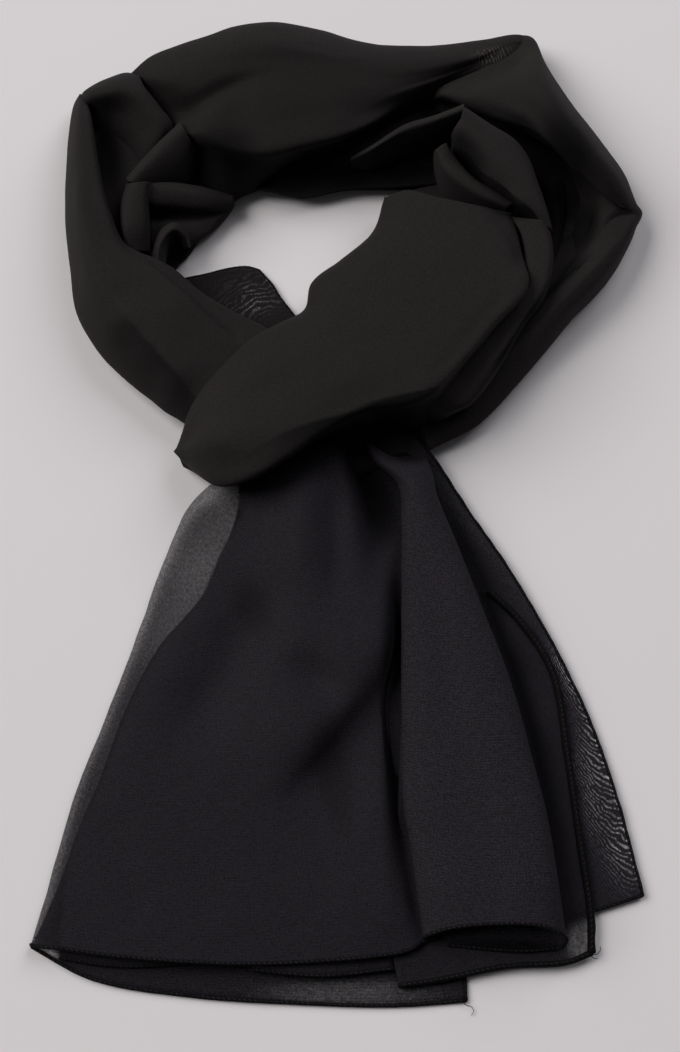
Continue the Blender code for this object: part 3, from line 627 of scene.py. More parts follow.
backBand = {
    "finish": "farShadedWatery", "stands": ("ring_back",), "seed": 5.7, "feet": (4.0, 4.0, 4.0), "ends": (1.5, 0.8),
    "marks": {
        "watery": ((73, 225, 12, 4.5, 20, 1.0),),
        # painted shade on the band's top and below its lip
        "deep": ((-6, 218.5, 62, 9, 0, 0.34), (-66, 156.5, 17, 12, 20, 0.8)),
    },
    "creases": (
        {"path": ((-57.5, 213), (-26.5, 214), (10, 211), (45.5, 215.5)), "width": 8, "lift": 0.6},
        {"path": ((-45.5, 174), (-17, 178), (10, 186.5), (34.5, 200.5)), "width": 6, "lift": -0.6},
    ),
    "folds": {
        "backSide": ((-116, 220.5, 11), (-106.5, 230.5, 11), (-93, 237.5, 11), (-77.5, 243.5, 11),
            (-61, 250.5, 11), (-41, 253, 11), (-17, 247.5, 11), (9.5, 239, 11), (41.5, 237.5, 11),
            (68, 241, 11), (89, 244, 12), (97, 242.5, 9)),
        "farCrest": ((-111, 214.5, 13), (-100, 208, 23), (-86, 208.5, 29), (-72, 214, 30), (-56, 219.5, 31),
            (-37, 221, 32), (-15.5, 216, 32), (8, 209.5, 31), (37.5, 211, 29), (65.5, 222, 23), (87, 236, 17),
            (95.5, 235.5, 12)),
        "farFront": ((-102, 204.5, 13), (-92, 198.5, 21), (-79.5, 197.5, 29), (-66.5, 203.5, 31),
            (-51, 208, 33), (-32.5, 209.5, 34), (-14, 204.5, 34), (8, 200, 32), (35, 205.5, 28),
            (64.5, 220, 22), (85.5, 234, 17.5), (95, 234, 11)),
        "crease": ((-93.5, 192.5, 12), (-85, 191, 17), (-75.5, 191.5, 25), (-62.5, 198.5, 27.5),
            (-49, 201.5, 31.5), (-31.5, 200.5, 34.5), (-13.5, 195.5, 34.5), (7.5, 193.5, 32.5),
            (34, 202.5, 27), (63.5, 219, 21), (84.5, 231, 18), (94.5, 232, 11)),
        "nearRidge": ((-87, 179, 22), (-78.5, 176, 31), (-69.5, 180.5, 34), (-59, 189, 32.8),
            (-45.5, 192, 34.8), (-29.5, 188.5, 35.8), (-12, 184.5, 34.8), (7, 187, 31.8), (32, 199, 27),
            (62, 217, 20.5), (83.5, 228.5, 18), (94, 230, 11)),
        "nearFace": ((-84, 170, 28), (-75.5, 167.5, 32), (-65.5, 168.5, 34), (-54.5, 171, 33.8),
            (-41.5, 171.5, 34.8), (-26.5, 172.5, 34.8), (-10, 173, 33.8), (7, 181, 29.8), (30, 196, 24),
            (60, 215, 20), (82, 226, 18), (93.5, 229.5, 10)),
        "lip": ((-83, 170, 25), (-74.5, 164.5, 28), (-64, 159.5, 31.5), (-53, 155.5, 32.5), (-39, 155.5, 33),
            (-24, 159.5, 33), (-8.5, 164.5, 32), (7, 174, 29), (28.5, 194, 20), (59, 213, 19),
            (81.5, 223.5, 17.5), (93, 229, 9)),
        "underLip": ((-83.5, 168, 17), (-75, 166.5, 19), (-65, 158.5, 20), (-53.5, 157, 20),
            (-38.5, 157.5, 21), (-24, 165, 20), (-8, 171.5, 19), (7, 180, 18), (27.5, 193.5, 16),
            (58, 212, 16), (81, 221.5, 17), (92.5, 228.5, 8)),
        "innerSide": ((-83.5, 167, 10), (-75.5, 152.5, 8), (-65, 145.5, 6.5), (-53.5, 148.5, 6.5),
            (-39, 158.5, 12), (-23.5, 166, 16), (-7.5, 171.5, 16), (7, 180, 15), (27, 194, 12),
            (57, 212.5, 12), (80.5, 220.5, 15), (92, 227, 8)),
    },
}
innerBand = {
    "finish": "ring", "stands": ("ring_inner",), "seed": 6.1, "spacing": 1.5, "feet": (3.0, 3.0, 5.0),
    "ends": (1, 2),
    "marks": {
        # painted shade over the inner wall, in shade under the near bulge
        "deep": ((-3.5, 160.5, 70, 20, 0, 0.8),),
    },
    "folds": {
        "back": ((-50.5, 157.5, 8), (-42, 162.5, 9), (-26.5, 167, 12), (-3.5, 172, 13), (20.5, 179, 12),
            (45.5, 186, 11)),
        "ridge": ((-49.5, 155.5, 7.2), (-41, 159, 7.2), (-25.5, 161, 10), (-2.5, 163, 11), (21.5, 170.5, 10),
            (47.5, 180, 7.2)),
        "top": ((-49, 153.5, 6.6), (-39, 154.5, 6.6), (-25, 155, 7), (-2, 158, 7), (22.5, 164, 7),
            (48.5, 171.5, 6.6)),
        "innerSide": ((-48, 149.5, 8), (-37, 148, 7.5), (-24.5, 145.5, 7.5), (-2.5, 150.5, 7.5),
            (20.5, 151.5, 7.5), (48, 154, 7.5)),
    },
}
endPanel = {
    "finish": "ring", "stands": (), "seed": 7.3, "spacing": 1.1, "uneven": 0.2, "feet": (2.0, 2.0, 6.0),
    "folds": {
        "upperFoot": ((-88.5, 182, 20), (-97.5, 171.5, 20), (-106, 160.5, 20), (-114, 150.5, 18)),
        "upperEdge": ((-85, 172, 31), (-94.5, 161.5, 31), (-103, 151.5, 30), (-111.5, 142, 28)),
        "face": ((-82, 167.5, 28), (-87.5, 157, 26), (-95, 149, 25), (-103.5, 142, 24)),
        "lower": ((-79, 166.5, 22), (-80.5, 159.5, 15), (-84.5, 151, 12), (-94.5, 144, 11)),
    },
}
cuff = {
    "finish": "ring", "stands": ("ring_cuff",), "seed": 7.9, "spacing": 1.1, "uneven": 0.2,
    "feet": (2.0, 2.0, 6.0), "ends": (1.5, 0),
    "folds": {
        "outerSide": ((-114, 144.5, 20), (-116.5, 135.5, 17), (-116, 124, 14), (-113.5, 111, 12)),
        "outerRidge": ((-110.5, 140.5, 29), (-112.5, 129, 28), (-112.5, 116, 26.5), (-110.5, 105.5, 21)),
        "innerRidge": ((-102.5, 140.5, 30), (-103, 129.5, 27.5), (-102.5, 117, 24.5), (-102.5, 107, 19)),
        "innerSide": ((-101, 144.5, 22), (-102, 135.5, 17), (-101.5, 123, 13), (-101.5, 110.5, 11)),
    },
}
flapFold = {
    "finish": "ring", "stands": ("inner_folds",), "seed": 8.2, "spacing": 1.1, "uneven": 0.2,
    "feet": (2.0, 2.0, 4.0), "ends": (0.8, 1.5),
    "folds": {
        "flapBack": ((-105.5, 149, 18), (-91.5, 149.5, 16), (-77.5, 148.5, 14), (-60.5, 146, 9)),
        "flapCrest": ((-103, 141.5, 25), (-89.5, 141.5, 23), (-75.5, 141, 19), (-60, 141.5, 11)),
        "flapEdge": ((-102, 132.5, 22), (-89, 133.5, 19), (-76, 134, 16), (-61.5, 138.5, 10)),
        "crease": ((-102.5, 134, 13), (-89.5, 134, 11), (-77.5, 134, 10), (-65, 136, 8.5)),
        "lowCrest": ((-101.5, 125, 14), (-89.5, 125.5, 13), (-79, 127, 11), (-69, 131.5, 8.5)),
        "openingSide": ((-101, 114.5, 8), (-90.5, 113.5, 8), (-82.5, 117, 8), (-73, 125, 7.5)),
    },
}
loopFold = {
    "finish": "ring", "stands": ("loop_fold",), "seed": 9.4, "spacing": 0.9, "uneven": 0.12,
    "feet": (1.0, 1.0, 6.0),
    "folds": {
        "leftSide": ((-96.5, 94, 12), (-99.5, 103.5, 15), (-98.5, 112.5, 18), (-95, 120.5, 19),
            (-88.5, 124, 19), (-82.5, 120, 16), (-81, 114.5, 10)),
        "ridge": ((-93.5, 92, 16), (-96, 100.5, 20), (-95, 108.5, 23), (-91.5, 114.5, 24), (-88, 117, 24),
            (-84, 115.5, 20), (-82.5, 112, 14)),
        "rightSide": ((-91.5, 95, 12), (-93, 103.5, 15), (-92.5, 110.5, 18), (-90.5, 114.5, 19),
            (-88.5, 116, 19), (-86.5, 115.5, 16), (-85, 113.5, 11)),
    },
}
rightBand = {
    "finish": "nearWatery", "stands": ("ring_right",), "seed": 10.6, "feet": (4.0, 4.0, 4.0),
    "ends": (0.8, 1.5),
    "marks": {
        "watery": ((119.5, 111, 3.5, 7, -35, 0.5),),
        # painted shade in the hollow inside the band and below its inner crest
        "deep": (
            {"path": ((60.5, 193.5), (75.5, 185.5), (88, 178.5), (99, 165.5), (107.5, 158), (118, 150.5),
                      (125.5, 143.5)), "edge": 4.5, "reach": 24, "strengths": (0.0, 0.6, 1, 1, 1, 0.85, 0.4)},
            (104.5, 149, 15, 30, 0, 0.97), (116.5, 130, 9, 16, 0, 0.6),
            {"path": ((110, 94), (97, 80.5), (83, 64.5), (69.5, 48.5), (55.5, 32.5)),
             "edge": 3.0, "reach": 9, "strengths": (0.8, 1, 1, 0.9, 0.2)},
        ),
    },
    "creases": (
        {"path": ((145, 131), (133, 127.5), (121.5, 117.5)),
         "kind": "pinch", "width": 2.2, "lift": -2.0, "fade": 6},
        {"path": ((136, 118.5), (120.5, 98), (104, 79.5), (87, 61.5), (70, 44.5), (56.5, 32)),
         "kind": "pinch", "width": 3.5, "lift": 1.5, "fade": 6},
    ),
    "folds": {
        "outerSide": ((85.5, 245.5, 9), (95, 242.5, 12), (102, 225, 11), (115, 200, 10), (129.5, 176, 9),
            (139.5, 158, 9), (144.5, 139.5, 10.5), (147, 135, 10.5), (144, 127.5, 10.5), (140, 118, 9),
            (126.5, 95.5, 9), (110, 76.5, 9), (95.5, 58, 8), (80, 38.5, 8), (61, 18, 8), (37, 4.5, 7)),
        "outerCrest": ((83, 233, 15), (91.5, 228, 20), (94, 199.5, 36), (104.5, 175, 39), (120, 153.5, 37),
            (132.5, 141, 28), (138.5, 133.5, 21), (141, 129.5, 18), (138.5, 120.5, 19), (134, 111, 19),
            (120.5, 91, 21), (104.5, 74, 21), (90.5, 59, 20), (75.5, 44, 18), (58, 26, 15), (35, 10.5, 10)),
        "foldLine": ((74, 221.5, 18.5), (81, 217, 21), (79.5, 197, 30), (87, 182.5, 31), (98.5, 165.5, 31),
            (113.5, 147.5, 28), (131.5, 132.5, 21.8), (138, 130, 19), (135, 124.5, 19.6), (128.5, 112.5, 21),
            (116, 94, 23), (100, 78.5, 23), (86.5, 65.5, 21), (72, 51.5, 18), (55, 36.5, 14), (32.5, 19, 10)),
        "innerRidge": ((45.5, 204, 20), (53.5, 202.5, 23), (60, 192.5, 28), (71, 182, 27), (89.5, 172.5, 28),
            (105.5, 161.5, 28), (122.5, 144.5, 24), (130, 132, 21), (127.5, 127, 20.7), (123, 115.5, 20),
            (111, 97.5, 21), (95.5, 84, 21), (83, 71, 19), (69.5, 56, 16), (53, 42, 13), (30, 27.5, 9)),
        "innerLip": ((42, 201, 16), (47, 198.5, 22), (58, 191, 23), (71.5, 183, 22.5), (90, 173.5, 23),
            (105.5, 162, 23), (122.5, 144.5, 19), (124.5, 133, 18), (123, 127.5, 17.4), (119.5, 115.5, 16),
            (108.5, 99.5, 16), (93.5, 85, 16), (81, 71, 15), (68.5, 55.5, 13), (52, 41, 11), (29, 26.5, 8)),
        "hollow": ((41.5, 201, 9), (46.5, 199.5, 12), (59.5, 197.5, 10), (77, 193, 8), (94.5, 182, 7),
            (108, 169, 7), (118, 142.5, 8), (121, 136.5, 8.5), (120.5, 129.5, 9), (114.5, 116, 10),
            (105.5, 99.5, 10), (91.5, 85, 10), (79, 70, 10), (66.5, 54.5, 9.5), (51, 40, 9), (28, 25, 7.5)),
        "innerFoot": ((41, 198, 7), (46, 196.5, 9), (57.5, 191, 7), (71.5, 180.5, 6.5), (86.5, 164.5, 6.5),
            (97, 150, 6.5), (102, 140.5, 7), (103.5, 131.5, 7), (103.5, 123.5, 7), (102.5, 113, 9),
            (95.5, 97, 9), (84, 82.5, 9), (72.5, 67.5, 9), (61.5, 52, 8.5), (48, 37.5, 8), (26.5, 23, 7)),
    },
}
strip = {
    "finish": "ring", "stands": ("over_strip",), "seed": 11.3, "spacing": 1.2, "uneven": 0.2,
    "feet": (2.0, 6.0, 6.0), "ends": (1, 1.5),
    "marks": {
        # painted shade along the strip's inner side and at its end
        "deep": (
            {"path": ((63, 35.5), (69.5, 44), (77, 55), (84.5, 67), (92, 79.5)),
             "edge": 1.2, "reach": 26, "strengths": (0.3, 1, 1, 1, 0.5)},
            (83, 123, 13, 4.5, -8, 0.9),
        ),
    },
    "folds": {
        "inner": ((77.5, 127, 23), (83, 113, 26), (84.5, 97, 26), (83.5, 83.5, 26), (72.5, 73.5, 26),
            (60, 55, 25), (48, 42.5, 23), (40, 30, 22), (32.5, 22, 20)),
        "innerEdge": ((78.5, 121, 29), (83.5, 107.5, 31), (85, 92.5, 31.5), (84, 79, 31.5), (73.5, 69, 31),
            (61, 51, 30), (49, 38, 28.5), (41, 26, 27), (33.5, 18.5, 24.5)),
        "middle": ((85.5, 117.5, 32.8), (90, 105, 32.8), (90.5, 90.5, 32.8), (87.5, 76, 31.8), (77, 62, 30.8),
            (65.5, 45.5, 29.3), (54.5, 32, 27.3), (47, 22, 25.8), (41, 17, 23.3)),
        "outerEdge": ((93, 115.5, 34.2), (95.5, 104, 33.2), (95, 89.5, 32.7), (90.5, 74, 31.7),
            (80, 59, 30.2), (71, 43, 28.2), (61, 28.5, 26.2), (54.5, 20.5, 24.7), (49, 18, 22.2)),
        "outer": ((97, 118.5, 26), (98.5, 107.5, 25), (98, 94, 24), (93, 77.5, 23), (82.5, 62, 22),
            (73, 45.5, 20), (63, 31, 18), (56, 23.5, 16), (51, 21.5, 14)),
    },
}
overBand = {
    "finish": "ring", "stands": ("over_band",), "seed": 12.5, "uneven": 0.5, "feet": (3.0, 11.0, 4.0),
    "ends": (2, 0.8),
    "marks": {
        # painted shade along the band's lower edge and at its right end
        "deep": (
            {"path": ((-42.5, -7), (-29.5, -0.5), (-15.5, 5), (-1.5, 9), (10, 14), (29, 19)),
             "edge": 1.5, "reach": 14, "strengths": (0.2, 0.7, 0.9, 1, 1, 0.9)},
            (71.5, 124, 15, 3.2, -12, 0.75),
        ),
    },
    "creases": (
        {"path": ((21.5, 133.5), (32, 124), (45, 111), (55.5, 102.5)), "width": 4, "lift": -1.0},
        {"path": ((65.5, 125), (75, 113.5), (82, 99), (78, 81)), "width": 5, "lift": -1.8},
        {"path": ((78, 81), (60.5, 56), (45, 36.5), (33.5, 23)), "width": 4, "lift": -0.9},
        {"path": ((-61, 4), (-39.5, 9), (-11, 19.5), (22, 40)), "width": 9, "lift": 0.7},
    ),
    "folds": {
        "openingSide": ((16, 141, 14), (9, 119, 14), (-7, 103, 14), (-21, 90, 14), (-24, 76, 14),
            (-37.5, 66, 16), (-51, 56.5, 17), (-61.5, 43.5, 17), (-71.5, 31.5, 17), (-77, 21, 15),
            (-79, 11.5, 12), (-82, 6.5, 7)),
        "openingEdge": ((18, 136, 24), (11.5, 115, 26), (-4.5, 98, 27), (-18, 85.5, 27), (-22.5, 69.5, 27),
            (-36, 60.5, 28), (-50, 51.5, 28), (-61.5, 39, 28), (-71, 28, 26), (-78, 17.5, 22), (-81.5, 9, 16),
            (-84.5, 4, 9)),
        "openingCrest": ((27.5, 134.5, 32), (19, 110.5, 35), (4.5, 91, 36), (-7.5, 76.5, 36), (-15, 61.5, 36),
            (-28, 49.5, 36), (-43, 39, 36), (-54, 28, 35), (-64, 17.5, 33), (-72.5, 9.5, 28), (-78, 3.5, 21),
            (-85.5, 2, 11)),
        "middle": ((41, 128, 36), (37.5, 103.5, 39), (24.5, 81, 40), (12, 63.5, 40), (0.5, 49.5, 40),
            (-13.5, 35.5, 40), (-28.5, 24.5, 39), (-41.5, 15, 38), (-53.5, 5, 37.5), (-64.5, -2, 34.5),
            (-74, -3, 26), (-84, 0, 12)),
        "knotCrest": ((59.5, 124.5, 34.5), (61.5, 100, 39), (61, 76, 40.5), (47, 56, 41), (34.5, 40, 41),
            (16.5, 24.5, 41), (-3, 14, 40), (-20.5, 4, 39.5), (-36.5, -6, 38.5), (-51.5, -13, 34),
            (-67, -12.5, 25), (-82, -2, 11)),
        "knotEdge": ((76.5, 123, 30), (80.5, 100, 34), (82, 74, 39.3), (67, 55, 39.6), (53.5, 38, 39.6),
            (32.5, 16, 39.6), (4.5, 9.5, 38.8), (-14.5, -0.5, 38.1), (-31, -12.5, 36.1), (-47, -20.5, 31.3),
            (-63, -20, 21.8), (-80, -3, 9)),
        "knotSide": ((79, 125, 24), (84, 103, 27), (83.5, 77, 33.3), (68.5, 57.5, 33.6), (55, 40.5, 33.6),
            (33, 17, 33.6), (4.5, 11.5, 32.8), (-14.5, 1.5, 31.3), (-31, -10, 28.3), (-47, -17.5, 22.3),
            (-63.5, -17, 13.3), (-79.5, -3, 6)),
    },
}
apexPanel = {
    "finish": "ring", "stands": ("apex_fold",), "seed": 13.7, "spacing": 1.1, "uneven": 0.2,
    "feet": (2.0, 2.0, 10.0), "ends": (0.6, 1),
    "marks": {
        # painted shade on the panel's left part
        "deep": ((55, 151.5, 7, 15, 38, 0.85),),
    },
    "creases": (
        {"path": ((48.5, 164), (56, 149), (67.5, 135), (84, 123.5)), "width": 5.5, "lift": -3.6, "fade": 3},
    ),
    "folds": {
        "hollowSide": ((57, 185.5, 28), (71, 175, 27), (82, 167.5, 26), (88.5, 157, 26), (92.5, 142, 26),
            (96.5, 126.5, 26), (99, 115, 24)),
        "outerEdge": ((55, 175.5, 42), (68.5, 166.5, 39), (79.5, 159.5, 37), (85.5, 150.5, 36),
            (90, 135.5, 36), (93.5, 122, 35), (96.5, 112.5, 32)),
        "face": ((54.5, 172, 43), (63, 159, 42), (71.5, 148.5, 41), (78, 139.5, 40), (82.5, 129.5, 39),
            (88, 121.5, 37), (93, 114, 33)),
        "innerEdge": ((53.5, 169, 42), (49.5, 156.5, 42), (57, 145.5, 41), (64.5, 136, 40), (73.5, 130, 38),
            (81.5, 125, 36), (91, 121, 33)),
        "innerSide": ((54, 176.5, 30), (50, 164, 30), (57, 152, 30), (65, 142, 29), (74.5, 135, 28),
            (82, 129.5, 27), (91.5, 123.5, 27)),
    },
}
apexWing = {
    "finish": "ring", "stands": ("apex_wing",), "seed": 14.2, "spacing": 1.1, "uneven": 0.15,
    "feet": (1.5, 1.5, 10.0),
    "folds": {
        "backSide": ((56.5, 188.5, 26), (41.5, 182, 26), (26.5, 178, 24), (11, 169.5, 20), (0, 165, 16)),
        "ridge": ((55.5, 176.5, 41), (40.5, 171.5, 38), (25.5, 168.5, 34), (10, 162, 27), (-1, 161.5, 18)),
        "frontSide": ((54.5, 173.5, 35), (41, 169.5, 31.5), (25.5, 166.5, 27), (10, 162.5, 20), (0, 161, 15)),
    },
}
slotFold = {
    "finish": "ring", "stands": ("slot_fold",), "seed": 15.9, "spacing": 1.0, "uneven": 0.15,
    "feet": (1.5, 1.5, 10.0), "ends": (1, 1),
    "folds": {
        "backSide": ((47, 162, 32), (52.5, 151, 33), (60, 141, 33), (70.5, 133.5, 32), (79.5, 127.5, 30)),
        "ridge": ((42, 158, 32.5), (46.5, 145, 34), (54.5, 136.5, 34), (65.5, 129.5, 33), (76.5, 125.5, 31)),
        "frontSide": ((41, 159.5, 27), (45, 146, 27), (53, 136.5, 27), (64.5, 129, 27), (76, 125, 26)),
    },
}
hollowOuter = {
    "finish": "ring", "stands": ("hollow_fold_outer",), "seed": 16.4, "spacing": 1.2, "uneven": 0.2,
    "feet": (2.0, 2.0, 9.0), "ends": (3, 3),
    "marks": {
        # painted shade in the hollow
        "deep": ((117.5, 137, 22, 34, 0, 0.7),),
    },
    "folds": {
        "outerSide": ((133, 150, 8), (130, 140, 9), (125.5, 128, 9), (118.5, 115, 9), (113, 103.5, 9)),
        "ridge": ((125, 152, 8.8), (123, 139.5, 9.8), (118, 126.5, 10.3), (113.5, 114.5, 9.8),
            (109, 104, 8.8)),
        "innerSide": atHeight(7, ((118, 155.5), (114.5, 141), (111.5, 128), (108, 115.5), (105, 105))),
    },
}
hollowInner = {
    "finish": "ring", "stands": ("hollow_fold_inner",), "seed": 17.8, "spacing": 1.2, "uneven": 0.2,
    "feet": (2.0, 2.0, 9.0), "ends": (3, 3),
    "marks": {
        # painted shade in the hollow
        "deep": ((102, 149.5, 14, 50, 0, 0.9),),
    },
    "folds": {
        "outerSide": ((107, 164, 3.4), (108, 156.5, 7.3), (109, 140.5, 8.3), (106, 120.5, 8.3),
            (100.5, 103, 8.3)),
        "ridge": ((103, 164, 3.4), (103, 154, 10.5), (103.5, 138.5, 11.5), (101.5, 118.5, 11.5),
            (96.5, 101, 10)),
        "innerSide": ((99, 163, 3.4), (98, 154, 8.3), (98, 139.5, 8.8), (96, 120, 8.8), (92, 100.5, 8.8)),
    },
}
neckFlap = {
    "finish": "flap", "stands": ("neck_flap",), "seed": 18.6, "spacing": 1.2, "uneven": 0.15,
    "thickness": 0.25,
    "marks": {
        "watery": ((-52, 91.5, 14.5, 12.5, 0, 1.0),),
        "thin": ((-51.5, 91.5, 10, 9, 0, 0.15),),
    },
    "folds": {
        "leftSide": ((-87, 101.5, 1.6), (-83.5, 94, 1.6), (-76, 82.5, 1.8), (-64.5, 67, 2)),
        "leftPart": ((-76, 104, 1.6), (-73.5, 95, 1.8), (-67, 82.5, 2), (-56.5, 64, 2.2)),
        "middle": ((-64, 107.5, 1.6), (-60.5, 97.5, 2.2), (-55, 85.5, 2.4), (-45, 64, 2.4)),
        "rightPart": ((-53.5, 109, 1.6), (-49.5, 99, 2.4), (-43.5, 87, 2.6), (-32, 69.5, 2.4)),
        "rightSide": ((-47, 107, 1.6), (-40.5, 98.5, 2), (-34, 87.5, 2.2), (-26, 77, 2)),
    },
}
tailUnder = {
    "finish": "under", "stands": ("tail_under",), "seed": 19.1, "spacing": 2.6, "uneven": 0.12,
    "thickness": 0.25,
    "marks": {
        "thin": ((-2, -246.5, 45, 7, 0, 0.42), (-132.5, -230, 7, 4, -30, 0.9)),
    },
    "folds": {
        "foldSide": ((-54, -10, 2), (-54, -19, 1), (-61.5, -47.5, 1), (-69, -65.5, 1), (-86, -89, 1),
            (-105, -134, 1), (-119, -169, 1), (-130, -204.5, 1), (-139, -227.5, 1)),
        "leftPart": ((-43.5, -6, 2), (-39.5, -13.5, 1), (-50.5, -49.5, 1), (-54.5, -69.5, 1), (-64.5, -89, 1),
            (-80, -134, 1), (-98, -177, 1), (-107.5, -214, 1), (-112, -241, 1)),
        "middleLeft": ((-25.5, -6, 2), (-25.5, -13.5, 1), (-34.5, -49.5, 1), (-38.5, -69.5, 1), (-42, -89, 1),
            (-51.5, -134, 1), (-61, -177, 1), (-67, -214, 1), (-70, -248, 1)),
        "middle": ((-11, -6, 2), (-11, -13.5, 1), (-13.5, -49.5, 1), (-15, -69.5, 1), (-16.5, -89, 1),
            (-19.5, -134, 1), (-22, -177, 1), (-23.5, -214, 1), (-24, -251, 1)),
        "middleRight": ((-0.5, -6, 2), (-0.5, -13.5, 1), (3, -49.5, 1), (4.5, -69.5, 1), (6, -89, 1),
            (9, -134, 1), (12.5, -177, 1), (14.5, -214, 1), (16, -252, 1)),
        "rightSide": ((9, -6, 2), (9, -13.5, 1), (18.5, -49.5, 1), (22.5, -69.5, 1), (27, -89, 1),
            (37, -134, 1), (43.5, -177, 1), (46.5, -214, 1), (47.5, -250, 1)),
    },
}
tailBack = {
    "finish": "sheerWatery", "stands": ("tail_back",), "seed": 20.3, "spacing": 2.0, "uneven": 0.15,
    "thickness": 0.25,
    "marks": {
        "watery": ((114.5, -164, 14, 42, 12, 1.0), (102, -113.5, 8, 22, 30, 0.8)),
        # painted shade beside the pleat's right edge
        "deep": (
            {"path": ((67.5, -90), (58, -63), (46.5, -33.5), (37.5, -5.5)),
             "edge": 7.0, "reach": 7, "strengths": (1, 1, 1, 0.8)},
        ),
    },
    "folds": {
        "leftSide": ((-52, -11, 8.5), (-54.5, -32, 6), (-61.5, -46.5, 4.6), (-71, -70.5, 3.4),
            (-88.5, -91.5, 2.6), (-103, -121.5, 2.2), (-114, -156.5, 2.2), (-124, -185.5, 2.2),
            (-127, -210, 2.2), (-126.5, -232.5, 2.2)),
        "leftPart": ((-30, 2.5, 6), (-34.5, -20.5, 5), (-38, -43, 4), (-42.5, -70.5, 3.6), (-52, -97, 2.8),
            (-63, -125.5, 2.4), (-73, -157.5, 2.2), (-83, -186, 2.2), (-88.5, -210, 2.2), (-97, -236, 2.2)),
        "middle": ((-6, 11, 4), (-4, -9, 2.2), (-0.5, -37.5, 2.2), (2, -70, 2.4), (3, -99.5, 3),
            (3.5, -127.5, 2.6), (4.5, -159.5, 2.4), (5, -186, 2.2), (6, -210, 2.2), (6.5, -226.5, 2.2)),
        "rightPart": ((15.5, 13.5, 4), (21.5, -4, 2.2), (31.5, -35, 2.2), (40.5, -66, 2.6), (48, -94.5, 3.4),
            (55.5, -120.5, 2.8), (61, -150.5, 2.4), (64.5, -177.5, 2.2), (67, -201.5, 2.2), (69, -220, 2.2)),
        "rightFace": ((23.5, 13, 7), (32, -1, 5.5), (45, -28, 4.6), (59, -58, 4), (71, -86, 4),
            (80, -113.5, 3), (87, -143.5, 2.4), (91, -170.5, 2.2), (94.5, -194, 2.2), (97, -214.5, 2.2)),
        "rightSide": ((28, 14, 8), (37, 3, 7), (53.5, -24.5, 5.2), (71, -52.5, 4.2), (86, -80, 3.2),
            (98, -105.5, 2.6), (107.5, -130, 2.2), (115.5, -157.5, 2.2), (121, -182.5, 2.2),
            (125.5, -206, 2.2)),
    },
}
tailMid = {
    "finish": "tail", "stands": ("tail_mid",), "seed": 21.5, "spacing": 3.0, "uneven": 0.1, "thickness": 0.25,
    "folds": {
        "leftSide": atHeight(3.4, ((-25, -50.5), (-28.5, -90), (-32.5, -127.5), (-36.5, -164), (-40, -199.5),
            (-44, -237.5))),
        "middle": atHeight(3.4, ((-6, -50.5), (-7, -90), (-8, -127.5), (-9.5, -164), (-11.5, -199.5),
            (-14, -240))),
        "rightSide": atHeight(3.4, ((12.5, -50.5), (14, -90), (15.5, -127.5), (16, -164), (16.5, -199.5),
            (17, -237))),
    },
}
tailPleatUnder = {
    "finish": "sheerWatery", "stands": ("tail_pleat_under",), "seed": 22.7, "spacing": 2.0, "uneven": 0.12,
    "thickness": 0.25,
    "marks": {
        "watery": ((72, -88, 5, 9, 20, 0.35), (82.5, -121, 5, 12, 12, 0.3)),
        "thin": ((97.5, -224.5, 6.5, 11, -8, 1.0),),
        # painted shade along the pleat's right edge
        "deep": (
            {"path": ((86.5, -221), (85, -186.5), (82, -155.5), (73.5, -114), (59.5, -70.5)),
             "edge": 5.0, "reach": 7, "strengths": (0.5, 0.7, 0.9, 1, 1)},
        ),
    },
    "folds": {
        "leftSide": ((25.5, -58.5, 4.6), (24, -90, 4.4), (21.5, -128, 4.4), (19.5, -164.5, 4.4),
            (17.5, -199.5, 4.4), (16.5, -231.5, 4.6), (19, -244, 2.6)),
        "leftPart": ((35.5, -61, 4.6), (37, -92.5, 4.4), (37, -130.5, 4.4), (37, -166.5, 4.4),
            (36.5, -201.5, 4.4), (35, -229.5, 4.6), (36.5, -241.5, 3.2)),
        "middle": ((47.5, -63, 4.6), (54.5, -90, 4.4), (59.5, -130, 4.4), (63, -166.5, 4.4),
            (65, -199.5, 4.4), (66, -225, 4.4), (65.5, -236, 3.6)),
        "rightPart": ((56, -65, 4.6), (68.5, -84.5, 4.4), (78, -122.5, 4.4), (84.5, -160, 4.4),
            (88, -194.5, 4.4), (90, -221, 4.2), (90.5, -234.5, 3.8)),
        "rightSide": ((63, -66.5, 4.6), (77, -81.5, 4.4), (90.5, -105.5, 4.4), (95.5, -145, 4.4),
            (99, -183, 4.4), (102, -214.5, 4.2), (101.5, -230.5, 3.8)),
    },
}
